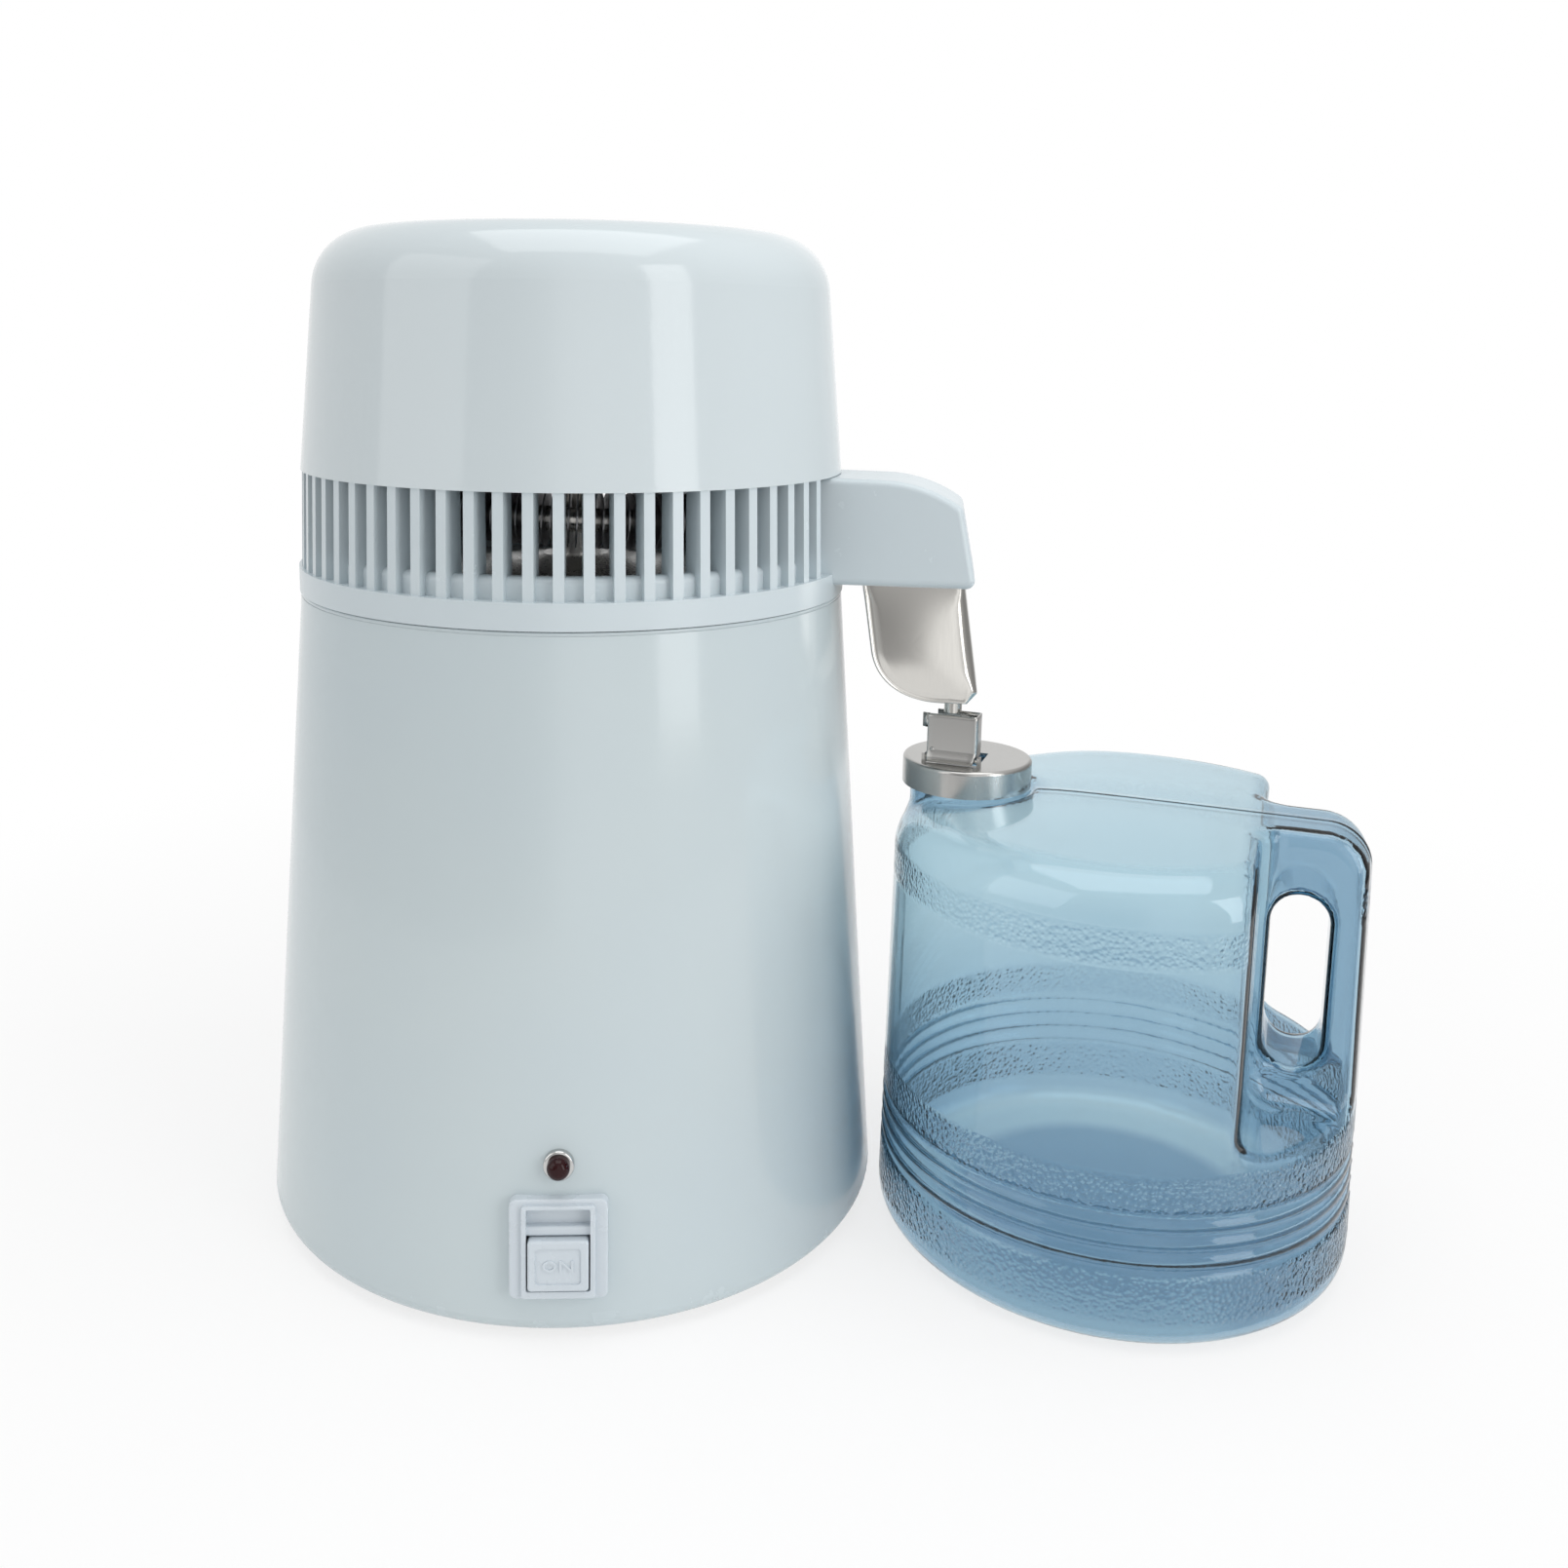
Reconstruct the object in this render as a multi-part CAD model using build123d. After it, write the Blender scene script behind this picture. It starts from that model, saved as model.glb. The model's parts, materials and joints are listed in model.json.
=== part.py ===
from build123d import *
import math
import os

# A countertop water distiller with its jug. Millimetres and degrees, +Z up, -Y front, +X the jug's side.
# The origin is the middle of the distiller's foot on the table.

# Fits and clearances
seam_gap = 0.4
running_fit = 0.06
slide_gap = 0.35
panel_fit = 0.1
overrun = 2.0
sheet = 0.8

# Foot and casing
base_radius = 115.0
lip_bottom = 3.0
lip_height = 7.0
lip_round = 4.5
lip_step = 0.5
lip_width = 5.5
foot_radius = 9.0
foot_height = 4.0
foot_inset = 17.0
foot_count = 4
foot_first_bearing = 45.0
plate_thickness = 2.0
casing_height = 218.5
casing_taper = 15.9
casing_wall = 1.6
base_screw_radius = 1.8
base_screw_head_radius = 3.6
base_screw_head = 1.4
base_screw_length = 9.0
base_screw_inset = 7.0
base_screw_count = 4
base_boss_radius = 5.0
base_boss_height = 9.0
plate_top = foot_height + plate_thickness
lip_top = lip_bottom + lip_height
casing_top = lip_top + casing_height
casing_foot_radius = base_radius - lip_step
casing_top_radius = casing_foot_radius - casing_taper
lip_inner_radius = casing_foot_radius - lip_width
foot_circle = lip_inner_radius - foot_inset
base_screw_circle = lip_inner_radius - base_screw_inset

# Tank and heater
tank_room = 12.6
tank_floor = 44.0
tank_corner = 10.0
flange_inset = 0.8
heater_plate_radius = 62.0
heater_plate_thickness = 5.0
element_inset = 16.0
element_radius = 4.0
element_sweep = 300.0
element_start = 120.0
terminal_radius = 1.6
terminal_length = 9.0
clamp_inset = 8.0
clamp_thickness = 1.5
stud_radius = 3.0
thermostat_radius = 8.0
thermostat_height = 7.0
thermostat_gap = 10.0
thermostat_turn = 150.0
cutout_turn = -60.0
thermostat_tab = 5.0
thermostat_tab_width = 3.0
block_length = 32.0
block_width = 15.0
block_height = 13.0
block_reach = 66.0
block_bearing = 60.0
block_bore = 2.0
block_way_count = 3
tank_radius = casing_top_radius - tank_room
flange_radius = casing_top_radius - flange_inset
flange_top = casing_top + sheet
heater_top = tank_floor - sheet
heater_bottom = heater_top - heater_plate_thickness
element_circle = heater_plate_radius - element_inset
element_level = heater_bottom - element_radius
thermostat_reach = element_circle - element_radius - thermostat_radius - thermostat_gap
clamp_radius = heater_plate_radius - clamp_inset
clamp_top = element_level - element_radius
clamp_bottom = clamp_top - clamp_thickness

# Push switch and lamp, in the plane that touches the casing in front
switch_rise = 23.4
bezel_width = 31.5
bezel_tall = 33.0
bezel_corner = 2.5
bezel_proud = 3.2
bezel_rim_side = 1.6
bezel_rim_top = 1.0
bezel_rim_foot = 2.4
bezel_rim_proud = 4.6
mouth_foot = -13.3
mouth_head = 13.9
collar_wall = 1.2
collar_depth = 12.0
bar_tall = 3.1
bar_proud = 3.0
well_floor = 0.4
button_gap = 0.5
button_width = 19.4
button_tall = 16.7
button_corner = 1.2
button_proud = 5.6
button_skirt = 6.0
button_panel_edge = 2.4
button_panel_depth = 0.5
button_travel = 2.5
stem_side = 8.0
stem_length = 11.0
switch_room = 2.0
switch_tab_width = 5.0
switch_tab_length = 6.0
switch_tab_spacing = 5.0
lamp_rise = 26.8
lamp_radius = 5.0
lamp_lens_radius = 3.7
lamp_proud = 2.2
lamp_lens_proud = 6.2
lamp_barrel_wall = 0.6
lamp_holder_wall = 1.3
lamp_holder_length = 14.0
switch_height = lip_top + switch_rise
lamp_height = switch_height + lamp_rise
mouth_width = button_width + 2 * button_gap
mouth_tall = mouth_head - mouth_foot
mouth_middle = (mouth_head + mouth_foot) / 2
button_foot = mouth_foot + button_gap
button_middle = button_foot + button_tall / 2
bar_foot = button_foot + button_tall + button_gap
bar_head = bar_foot + bar_tall
lamp_barrel_radius = lamp_lens_radius + lamp_barrel_wall
lamp_holder_radius = lamp_barrel_radius + lamp_holder_wall

# Mains inlet and fan sockets at the back
inlet_rise = 24.0
inlet_wall = 1.5
inlet_mouth_width = 24.0
inlet_mouth_tall = 17.0
inlet_mouth_depth = 17.0
inlet_depth = 24.0
inlet_rim = 3.5
inlet_proud = 2.5
inlet_corner = 3.0
pin_length = 11.0
pin_width = 2.0
pin_tall = 4.0
pin_spacing = 7.0
pin_rise = 2.0
fan_mouth_width = 14.0
fan_mouth_tall = 8.0
fan_mouth_depth = 9.0
fan_socket_depth = 14.0
fan_outlet_drop = 22.5
fan_inlet_rise = 23.2
inlet_height = lip_top + inlet_rise
inlet_width = inlet_mouth_width + 2 * inlet_wall
inlet_tall = inlet_mouth_tall + 2 * inlet_wall
fan_socket_width = fan_mouth_width + 2 * inlet_wall
fan_socket_tall = fan_mouth_tall + 2 * inlet_wall
fan_outlet_height = casing_top - fan_outlet_drop

# Head, from the gasket up to the foot of the cover
gasket_lap = 2.0
gasket_step = 0.4
gasket_thickness = 1.3
lid_overlap = 6.4
lid_cone_width = 22.4
lid_cone_rise = 9.2
lid_neck_radius = 12.0
lid_spigot_wall = 2.5
lid_spigot_length = 9.0
lid_fit = 0.2
band_gap = 0.8
band_height = 8.9
band_step = 0.4
upstand_inset = 4.2
upstand_wall = 6.8
upstand_height = 7.2
upstand_round = 2.5
slat_count = 65
slat_width = 3.5
slat_height = 33.8
slat_foot_inset = 1.1
slat_top_inset = 2.0
crown_lap = 7.2
crown_thickness = 3.0
cover_inset = 1.4
cover_taper = 7.3
cover_round = 21.0
cover_wall = 2.2
cover_fit = 1.1
gasket_bottom = flange_top + seam_gap
gasket_inner_radius = tank_radius - gasket_lap
lid_bottom = gasket_bottom + gasket_thickness
lid_top = lid_bottom + sheet
lid_radius = tank_radius + lid_overlap
lid_cone_radius = lid_radius - lid_cone_width
lid_neck_height = lid_top + lid_cone_rise
lid_spigot_top = lid_neck_height + lid_spigot_length
gasket_radius = lid_radius - gasket_step
band_bottom = flange_top + band_gap
band_top = band_bottom + band_height
band_radius = casing_top_radius + band_step
band_inner_radius = lid_radius + lid_fit
upstand_outer_radius = band_radius - upstand_inset
upstand_inner_radius = upstand_outer_radius - upstand_wall
upstand_top = band_top + upstand_height
slat_foot_radius = band_radius - slat_foot_inset
slat_top_radius = band_radius - slat_top_inset
cover_bottom = band_top + slat_height
cover_foot_radius = band_radius - cover_inset
cover_top_radius = cover_foot_radius - cover_taper
slat_neck_radius = cover_foot_radius - cover_wall - cover_fit
vent_top = cover_bottom + crown_lap
fan_inlet_height = cover_bottom + fan_inlet_rise

# Condenser
coil_room = 19.5
tube_radius = 4.0
tube_wall = 0.8
bend_radius = 18.0
coil_clearance = 1.0
coil_turn_count = 2
turn_rise = 19.0
quarter_turn_count = 4
lead_in_edge_count = 4
riser_seat = 2.0
outlet_bend = 12.0
outlet_back = 10.5
outlet_lift = 1.0
gap_sample_count = 240
fin_reach = 4.5
fin_thickness = 0.5
fin_count = 190
fin_fit = 0.05
nut_across = 17.0
nut_height = 6.0
nut_side_count = 6
tube_bore = tube_radius - tube_wall
fin_radius = tube_radius + fin_reach
coil_radius = upstand_inner_radius - fin_radius - coil_room
lid_spigot_radius = tube_radius + lid_spigot_wall
coil_low = lid_spigot_top + nut_height + coil_clearance
coil_high = coil_low + coil_turn_count * turn_rise
riser_foot = lid_neck_height + riser_seat

# Fan, and the top of the cover over it
coil_fan_gap = 17.0
hub_radius = 17.0
hub_height = 12.0
hub_round = 3.0
blade_count = 7
blade_root_lap = 2.0
blade_tip_room = 28.3
blade_chord_root = 13.0
blade_chord_tip = 24.0
blade_thickness = 1.4
blade_pitch = 28.0
shaft_radius = 2.0
shaft_seat = 5.0
shaft_end_gap = 2.0
motor_gap = 3.0
motor_radius = 23.0
motor_height = 19.0
motor_round = 2.5
motor_cap = 4.0
bracket_thickness = 2.0
bracket_ring_step = 1.0
bracket_hole_radius = 12.0
bracket_arm_count = 3
bracket_arm_width = 12.0
bracket_end = 6.0
boss_radius = 5.0
boss_length = 5.8
head_screw_inset = 9.3
head_screw_radius = 1.5
head_screw_head_radius = 3.0
head_screw_head = 1.5
head_screw_length = 6.0
grille_slot_count = 20
grille_slot_width = 4.0
grille_inner_radius = 20.0
grille_margin = 3.0
hub_bottom = coil_high + coil_fan_gap
hub_top = hub_bottom + hub_height
blade_root_radius = hub_radius - blade_root_lap
blade_tip_radius = cover_top_radius - blade_tip_room
motor_bottom = hub_top + motor_gap
motor_top = motor_bottom + motor_height
motor_bore_top = motor_top - motor_cap
shaft_bottom = hub_bottom + shaft_seat
shaft_top = motor_bore_top - shaft_end_gap
bracket_bottom = motor_top
bracket_top = bracket_bottom + bracket_thickness
bracket_ring_radius = motor_radius + bracket_ring_step
cover_inner_top = bracket_top + boss_length
cover_top = cover_inner_top + cover_wall
head_screw_circle = cover_top_radius - cover_round - head_screw_inset
bracket_reach = head_screw_circle + bracket_end
grille_outer_radius = head_screw_circle - boss_radius - grille_margin

# Spout arm, filter cup and drip tube, along the arm's bearing
arm_bearing = -11.0
drip_over = 25.5
arm_width = 40.0
arm_wall = 2.5
arm_root_lap = 7.0
arm_lift = 4.9
arm_drop = 0.2
arm_shoulder_run = 15.0
arm_shoulder_drop = 0.4
arm_nose_ahead = 0.7
arm_nose_drop = 9.4
arm_end_ahead = 6.3
arm_nose_round = 4.0
arm_edge_round = 2.2
arm_end_round = 3.0
cup_lap = 4.0
cup_depth = 45.0
cup_back = 33.5
cup_flank_run = 4.0
cup_flank_rise = 18.3
cup_heel_back = 4.5
cup_toe_ahead = 4.5
cup_toe_rise = 3.6
cup_tip_ahead = 8.1
cup_mouth_ahead = 1.9
cup_hem = 1.3
sachet_inset = 2.4
sachet_headroom = 11.0
drip_radius = 3.2
drip_wall = 0.8
drip_lap = 3.0
drip_drop = 6.9
drip_reach = base_radius + drip_over
arm_root = band_radius - arm_root_lap
arm_bottom = band_bottom + arm_lift
arm_top = cover_bottom - arm_drop
arm_shoulder_reach = band_radius + arm_shoulder_run
arm_shoulder_top = arm_top - arm_shoulder_drop
arm_nose_reach = drip_reach + arm_nose_ahead
arm_nose_top = arm_top - arm_nose_drop
arm_end_reach = drip_reach + arm_end_ahead
cup_width = arm_width - 2 * arm_wall - 2 * panel_fit
cup_top = arm_bottom + cup_lap
cup_bottom = cup_top - cup_depth
cup_left = drip_reach - cup_back
cup_flank_reach = cup_left + cup_flank_run
cup_flank = cup_bottom + cup_flank_rise
cup_heel_reach = drip_reach - cup_heel_back
cup_toe_reach = drip_reach + cup_toe_ahead
cup_toe_tip = drip_reach + cup_tip_ahead
cup_mouth_right = drip_reach + cup_mouth_ahead
sachet_top = cup_top - sachet_headroom
drip_bore = drip_radius - drip_wall
drip_top = cup_bottom + drip_lap
drip_end = cup_bottom - drip_drop
outlet_reach = drip_reach - outlet_back
outlet_end = cup_top + outlet_lift

# Jug cap and its folding drip guide under the drip tube, in the cap's own axes
drip_gap = 0.5
drip_off = 1.0
guide_width = 18.4
guide_turn = 13.0
guide_middle = -2.9
guide_ahead = 14.0
guide_depth = 8.2
guide_tall = 16.2
guide_back_inset = 2.0
guide_ear = 2.6
guide_ear_tall = 5.0
hinge_rise = 1.8
hinge_pin_radius = 0.6
hinge_fit = 0.08
hinge_wall = 0.55
lug_thickness = 1.1
lug_half_width = 1.5
hatch_gap = 0.6
neck_bore = 18.3
neck_wall = 2.3
bead_proud = 1.4
bead_height = 1.5
bead_drops = (7.2, 3.8)
cap_fit = 0.5
cap_wall = 1.1
cap_tall = 10.1
cap_plate = 1.0
cap_round = 1.4
seal_thickness = 0.6
seal_lap = 0.5
seal_gap = 0.4
seal_fit = 0.2
guide_left = guide_middle - guide_width / 2
guide_right = guide_middle + guide_width / 2
guide_front = -guide_ahead
guide_top = drip_end - drip_gap
hinge_level = guide_top - guide_tall
cap_top = hinge_level - hinge_rise
cap_bottom = cap_top - cap_tall
cap_bearing = arm_bearing - guide_turn
drip_along = guide_middle - drip_off
drip_ahead = guide_ahead - guide_depth / 2
neck_radius = neck_bore + neck_wall
neck_top = cap_top - cap_plate - seal_thickness - seal_gap
bead_radius = neck_radius + bead_proud
cap_inner_radius = bead_radius + cap_fit
cap_radius = cap_inner_radius + cap_wall
seal_inner_radius = neck_bore + seal_lap
seal_radius = cap_inner_radius - seal_fit

# Jug, as tall as the room under the spout lets it be
jug_bearing = -24.0
jug_foot_radius = 84.0
jug_taper = 2.6
jug_wall = 2.0
jug_foot_round = 10.0
jug_shoulder_round = 14.0
cap_lift = 8.6
punt_inset = 26.0
punt_flare = 6.0
punt_height = 7.0
slope_start = 26.0
slope_run = 74.0
slope_drop = 9.0
groove_low = 28.7
groove_pitch = 6.1
groove_count = 4
groove_radius = 1.7
groove_depth = 1.0
handle_depth = 37.0
handle_half_width = 16.5
pocket_depth = 96.0
pocket_round = 9.0
grip_bridge = 13.5
grip_width = 19.0
grip_floor = 11.0
grip_roof = 23.0
seam_width = 1.4
seam_height = 0.5
neck_inset = 26.0
neck_root = 4.0
seat_margin = 1.4
seat_gap = 1.9
jug_top = cap_top - cap_lift
jug_shoulder_radius = jug_foot_radius - jug_taper
punt_radius = jug_foot_radius - punt_inset
punt_top_radius = punt_radius - punt_flare
slope_drop_reach = slope_start + slope_run
slope_low = jug_top - slope_drop
pocket_wall = jug_foot_radius - handle_depth
pocket_floor = jug_top - pocket_depth
grip_middle = pocket_wall + grip_bridge
grip_low = pocket_floor + grip_floor
grip_high = jug_top - grip_roof
neck_offset = jug_foot_radius - neck_inset
neck_foot = slope_low - neck_root
seat_radius = cap_radius + seat_margin
seat_level = cap_bottom - seat_gap


def polar(reach, bearing, z):
    """A point at a reach and bearing from the distiller's axis."""
    turn = math.radians(bearing)
    return Vector(reach * math.cos(turn), reach * math.sin(turn), z)


def ring(outer, inner, bottom, top):
    """A plain ring about Z."""
    tall = top - bottom
    hole = Pos(0, 0, bottom - overrun) * Cylinder(inner, tall + 2 * overrun, align=on_floor)
    return Pos(0, 0, bottom) * Cylinder(outer, tall, align=on_floor) - hole


def rod(radius, bottom, top):
    """A plain upright cylinder about Z."""
    return Pos(0, 0, bottom) * Cylinder(radius, top - bottom, align=on_floor)


def turned(outline):
    """A solid turned about Z from a closed outline of (radius, height) points."""
    points = [(r, 0, z) for r, z in outline]
    return revolve(make_face(Polyline(points, close=True)), Axis.Z)


def round_box(width, tall, low, high, corner):
    """A box with rounded upright edges, from low to high along local Z."""
    return Pos(0, 0, low) * extrude(RectangleRounded(width, tall, corner), high - low)


def block(left, right, front, back, low, high):
    """A box given by its six sides."""
    size = Box(right - left, back - front, high - low, align=(Align.MIN, Align.MIN, Align.MIN))
    return Pos(left, front, low) * size


def circle_of(count, first_bearing, circle, shape):
    """Copies of one shape round the axis, each a solid of the same node."""
    step = 360 / count
    place = Pos(circle, 0, 0) * shape
    return Compound([Rot(0, 0, first_bearing + i * step) * place for i in range(count)])


def casing_radius(z):
    """Outer radius of the casing at a height."""
    share = (z - lip_top) / (casing_top - lip_top)
    return casing_foot_radius + (casing_top_radius - casing_foot_radius) * share


def cover_radius(z):
    """Outer radius of the cover's side at a height."""
    share = (z - cover_bottom) / (cover_top - cover_bottom)
    return cover_foot_radius + (cover_top_radius - cover_foot_radius) * share


def wall_plane(radius_at, z, bearing):
    """A plane that touches a tapered wall: local X level, local Y up the wall, local Z outwards."""
    slope = math.atan2(radius_at(z) - radius_at(z + overrun), overrun)
    out = polar(math.cos(slope), bearing, math.sin(slope))
    level = polar(1, bearing + 90, 0)
    return Plane(origin=polar(radius_at(z), bearing, z), x_dir=level, z_dir=out)


on_floor = (Align.CENTER, Align.CENTER, Align.MIN)
front_bearing = -90.0
back_bearing = 90.0
switch_plane = wall_plane(casing_radius, switch_height, front_bearing)
lamp_plane = wall_plane(casing_radius, lamp_height, front_bearing)
inlet_plane = wall_plane(casing_radius, inlet_height, back_bearing)
fan_outlet_plane = wall_plane(casing_radius, fan_outlet_height, back_bearing)
fan_inlet_plane = wall_plane(cover_radius, fan_inlet_height, back_bearing)
drip_point = polar(drip_reach, arm_bearing, 0)
cap_centre = drip_point - polar(drip_along, cap_bearing, 0) + polar(drip_ahead, cap_bearing + 90, 0)
jug_centre = cap_centre + polar(neck_offset, jug_bearing, 0)
arm_place = Rot(0, 0, arm_bearing)
cap_place = Pos(cap_centre.X, cap_centre.Y, 0) * Rot(0, 0, cap_bearing)
jug_place = Pos(jug_centre.X, jug_centre.Y, 0) * Rot(0, 0, jug_bearing)


def casing_core():
    """The full tapered block inside the casing's outer face."""
    side = [(casing_foot_radius, lip_top), (casing_top_radius, casing_top)]
    return turned([(0, lip_top)] + side + [(0, casing_top)])


def casing_openings():
    """Cutters for the switch, the lamp, the mains inlet and the fan outlet."""
    reach = collar_depth
    margin = collar_wall + panel_fit
    switch = Box(mouth_width + 2 * margin, mouth_tall + 2 * margin, 2 * reach)
    switch = Pos(0, mouth_middle, 0) * switch
    inlet = Box(inlet_width + 2 * panel_fit, inlet_tall + 2 * panel_fit, 2 * reach)
    outlet = Box(fan_socket_width + 2 * panel_fit, fan_socket_tall + 2 * panel_fit, 2 * reach)
    lamp = Cylinder(lamp_barrel_radius + panel_fit, 2 * reach)
    places = (switch_plane, inlet_plane, fan_outlet_plane, lamp_plane)
    return [plane.location * tool for plane, tool in zip(places, (switch, inlet, outlet, lamp))]


def outer_casing():
    inner_foot = casing_foot_radius - casing_wall
    inner_top = casing_top_radius - casing_wall
    wall = [(inner_foot, lip_top), (casing_foot_radius, lip_top)]
    wall += [(casing_top_radius, casing_top), (inner_top, casing_top)]
    return turned(wall) - casing_openings()


def base_ring():
    outline = [(lip_inner_radius, lip_bottom), (base_radius, lip_bottom), (casing_foot_radius, lip_top)]
    body = turned(outline + [(lip_inner_radius, lip_top)])
    low_edges = body.edges().filter_by(GeomType.CIRCLE).group_by(Axis.Z)[0]
    return fillet(low_edges.sort_by(SortBy.RADIUS)[-1:], lip_round)


def base_plate():
    plate = rod(lip_inner_radius - panel_fit, foot_height, plate_top)
    boss = rod(base_boss_radius, plate_top, plate_top + base_boss_height)
    hole = rod(base_screw_radius, foot_height - overrun, plate_top + base_boss_height + overrun)
    bosses = circle_of(base_screw_count, 0, base_screw_circle, boss)
    holes = circle_of(base_screw_count, 0, base_screw_circle, hole)
    return plate + bosses.solids() - holes.solids()


def base_screws():
    head = rod(base_screw_head_radius, foot_height - base_screw_head, foot_height)
    shank = rod(base_screw_radius, foot_height, foot_height + base_screw_length)
    return circle_of(base_screw_count, 0, base_screw_circle, head + shank)


def rubber_feet():
    foot = rod(foot_radius, 0, foot_height)
    foot = fillet(foot.edges().group_by(Axis.Z)[0], sheet)
    return circle_of(foot_count, foot_first_bearing, foot_circle, foot)


def boiling_tank():
    outer = rod(tank_radius, tank_floor - sheet, flange_top)
    outer = fillet(outer.edges().group_by(Axis.Z)[0], tank_corner)
    inner = rod(tank_radius - sheet, tank_floor, flange_top + overrun)
    inner = fillet(inner.edges().group_by(Axis.Z)[0], tank_corner - sheet)
    return outer + ring(flange_radius, tank_radius - sheet, casing_top, flange_top) - inner


def heater_plate():
    return rod(heater_plate_radius, heater_bottom, heater_top)


def heating_element():
    section = Plane.XZ * Pos(element_circle, element_level) * Circle(element_radius)
    hoop = Rot(0, 0, element_start) * revolve(section, Axis.Z, element_sweep)
    ends = []
    for turn, side in ((element_start, -1), (element_start + element_sweep, 1)):
        pin = Rot(90, 0, 0) * Cylinder(terminal_radius, terminal_length, align=on_floor)
        flip = Rot(0, 0, 0) if side < 0 else Rot(0, 0, 180)
        ends.append(Rot(0, 0, turn) * Pos(element_circle, 0, element_level) * flip * pin)
    return hoop + ends


def clamp_plate():
    window = rod(thermostat_radius, clamp_bottom - overrun, clamp_top + overrun)
    window = Pos(thermostat_reach, 0, 0) * window
    windows = [Rot(0, 0, element_start + turn) * window for turn in (thermostat_turn, cutout_turn)]
    return ring(clamp_radius, stud_radius, clamp_bottom, clamp_top) - windows


def centre_stud():
    return rod(stud_radius, plate_top, heater_bottom)


def heat_switch(turn):
    """A disc thermostat or cut-out against the heater plate, with two tabs."""
    body = rod(thermostat_radius, heater_bottom - thermostat_height, heater_bottom)
    low = heater_bottom - thermostat_height - thermostat_tab
    tab = block(0, sheet, 0, thermostat_tab_width, low, heater_bottom - thermostat_height)
    tabs = [Pos(x, 0, 0) * tab for x in (-thermostat_tab, thermostat_tab)]
    return Rot(0, 0, element_start + turn) * Pos(thermostat_reach, 0, 0) * (body + tabs)


def terminal_block():
    body = Box(block_length, block_width, block_height, align=on_floor)
    step = block_length / block_way_count
    bore = Rot(90, 0, 0) * Cylinder(block_bore, block_width + 2 * overrun)
    first = -step * (block_way_count - 1) / 2
    ways = [Pos(first + i * step, 0, block_height / 2) * bore for i in range(block_way_count)]
    spot = polar(block_reach, block_bearing, plate_top)
    return Pos(spot.X, spot.Y, spot.Z) * Rot(0, 0, block_bearing + 90) * (body - ways)


def mouth_prism(margin, low, high, corner):
    """A rounded block round the switch mouth, wider than it by a margin."""
    body = round_box(mouth_width + 2 * margin, mouth_tall + 2 * margin, low, high, corner)
    return Pos(0, mouth_middle, 0) * body


def switch_bezel():
    plate = round_box(bezel_width, bezel_tall, -bezel_proud, bezel_proud, bezel_corner)
    plate = fillet(plate.edges().group_by(Axis.Z)[-1], sheet)
    half = mouth_width / 2
    wide = half + bezel_rim_side
    rim = block(-wide, wide, mouth_foot - bezel_rim_foot, mouth_head + bezel_rim_top, 0, bezel_rim_proud)
    rim = fillet(rim.edges().filter_by(Axis.Z), button_corner)
    rim = fillet(rim.edges().group_by(Axis.Z)[-1], sheet / 2)
    flange = switch_plane.location * (plate + rim) - casing_core()
    collar = mouth_prism(collar_wall, -collar_depth, 0, button_corner)
    mouth = mouth_prism(0, -collar_depth - overrun, bezel_rim_proud + overrun, button_corner / 2)
    frame = flange + switch_plane.location * collar - switch_plane.location * mouth
    bar = block(-half, half, bar_foot, bar_head, -collar_depth, bar_proud)
    bar = fillet(bar.edges().filter_by(Axis.X).group_by(Axis.Z)[-1], sheet)
    well = block(-half, half, bar_head, mouth_head, -collar_depth, well_floor)
    return frame + switch_plane.location * (bar + well)


def on_button():
    cap = round_box(button_width, button_tall, -button_skirt, button_proud, button_corner)
    cap = fillet(cap.edges().group_by(Axis.Z)[-1], sheet)
    floor = button_proud - button_panel_depth
    inset = 2 * button_panel_edge
    panel = round_box(button_width - inset, button_tall - inset, floor, button_proud + overrun, button_corner)
    stem = Pos(0, 0, -button_skirt - stem_length) * Box(stem_side, stem_side, stem_length, align=on_floor)
    return switch_plane.location * Pos(0, button_middle, 0) * (cap - panel + stem)


def switch_body():
    front = -collar_depth
    depth = casing_radius(switch_height) - tank_radius - collar_depth - switch_room
    rear = front - depth
    wide = bezel_width - 2 * collar_wall
    body = Pos(0, mouth_middle, rear) * Box(wide, mouth_tall, depth, align=on_floor)
    side = stem_side + 2 * slide_gap
    deep = stem_length + button_skirt + button_travel + slide_gap
    well = Pos(0, button_middle, -deep) * Box(side, side, deep, align=on_floor)
    tab = Box(switch_tab_width, sheet, switch_tab_length, align=on_floor)
    rows = (-2 * switch_tab_spacing, -switch_tab_spacing, 0)
    tabs = [Pos(0, y, rear - switch_tab_length) * tab for y in rows]
    return switch_plane.location * (body - well + tabs)


def lamp_bezel():
    rim = rod(lamp_radius, -lamp_proud, lamp_proud)
    rim = fillet(rim.edges().group_by(Axis.Z)[-1], sheet)
    rim = lamp_plane.location * rim - casing_core()
    barrel = lamp_plane.location * rod(lamp_barrel_radius, -lamp_holder_radius, 0)
    bore = lamp_plane.location * rod(lamp_lens_radius, -lamp_holder_radius - overrun, lamp_proud + overrun)
    return rim + barrel - bore


def lamp_lens():
    barrel = rod(lamp_lens_radius, -lamp_holder_radius, lamp_lens_proud)
    return lamp_plane.location * fillet(barrel.edges().group_by(Axis.Z)[-1], lamp_lens_radius - sheet)


def lamp_holder():
    front = -lamp_holder_radius
    return lamp_plane.location * rod(lamp_holder_radius, front - lamp_holder_length, front)


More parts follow.
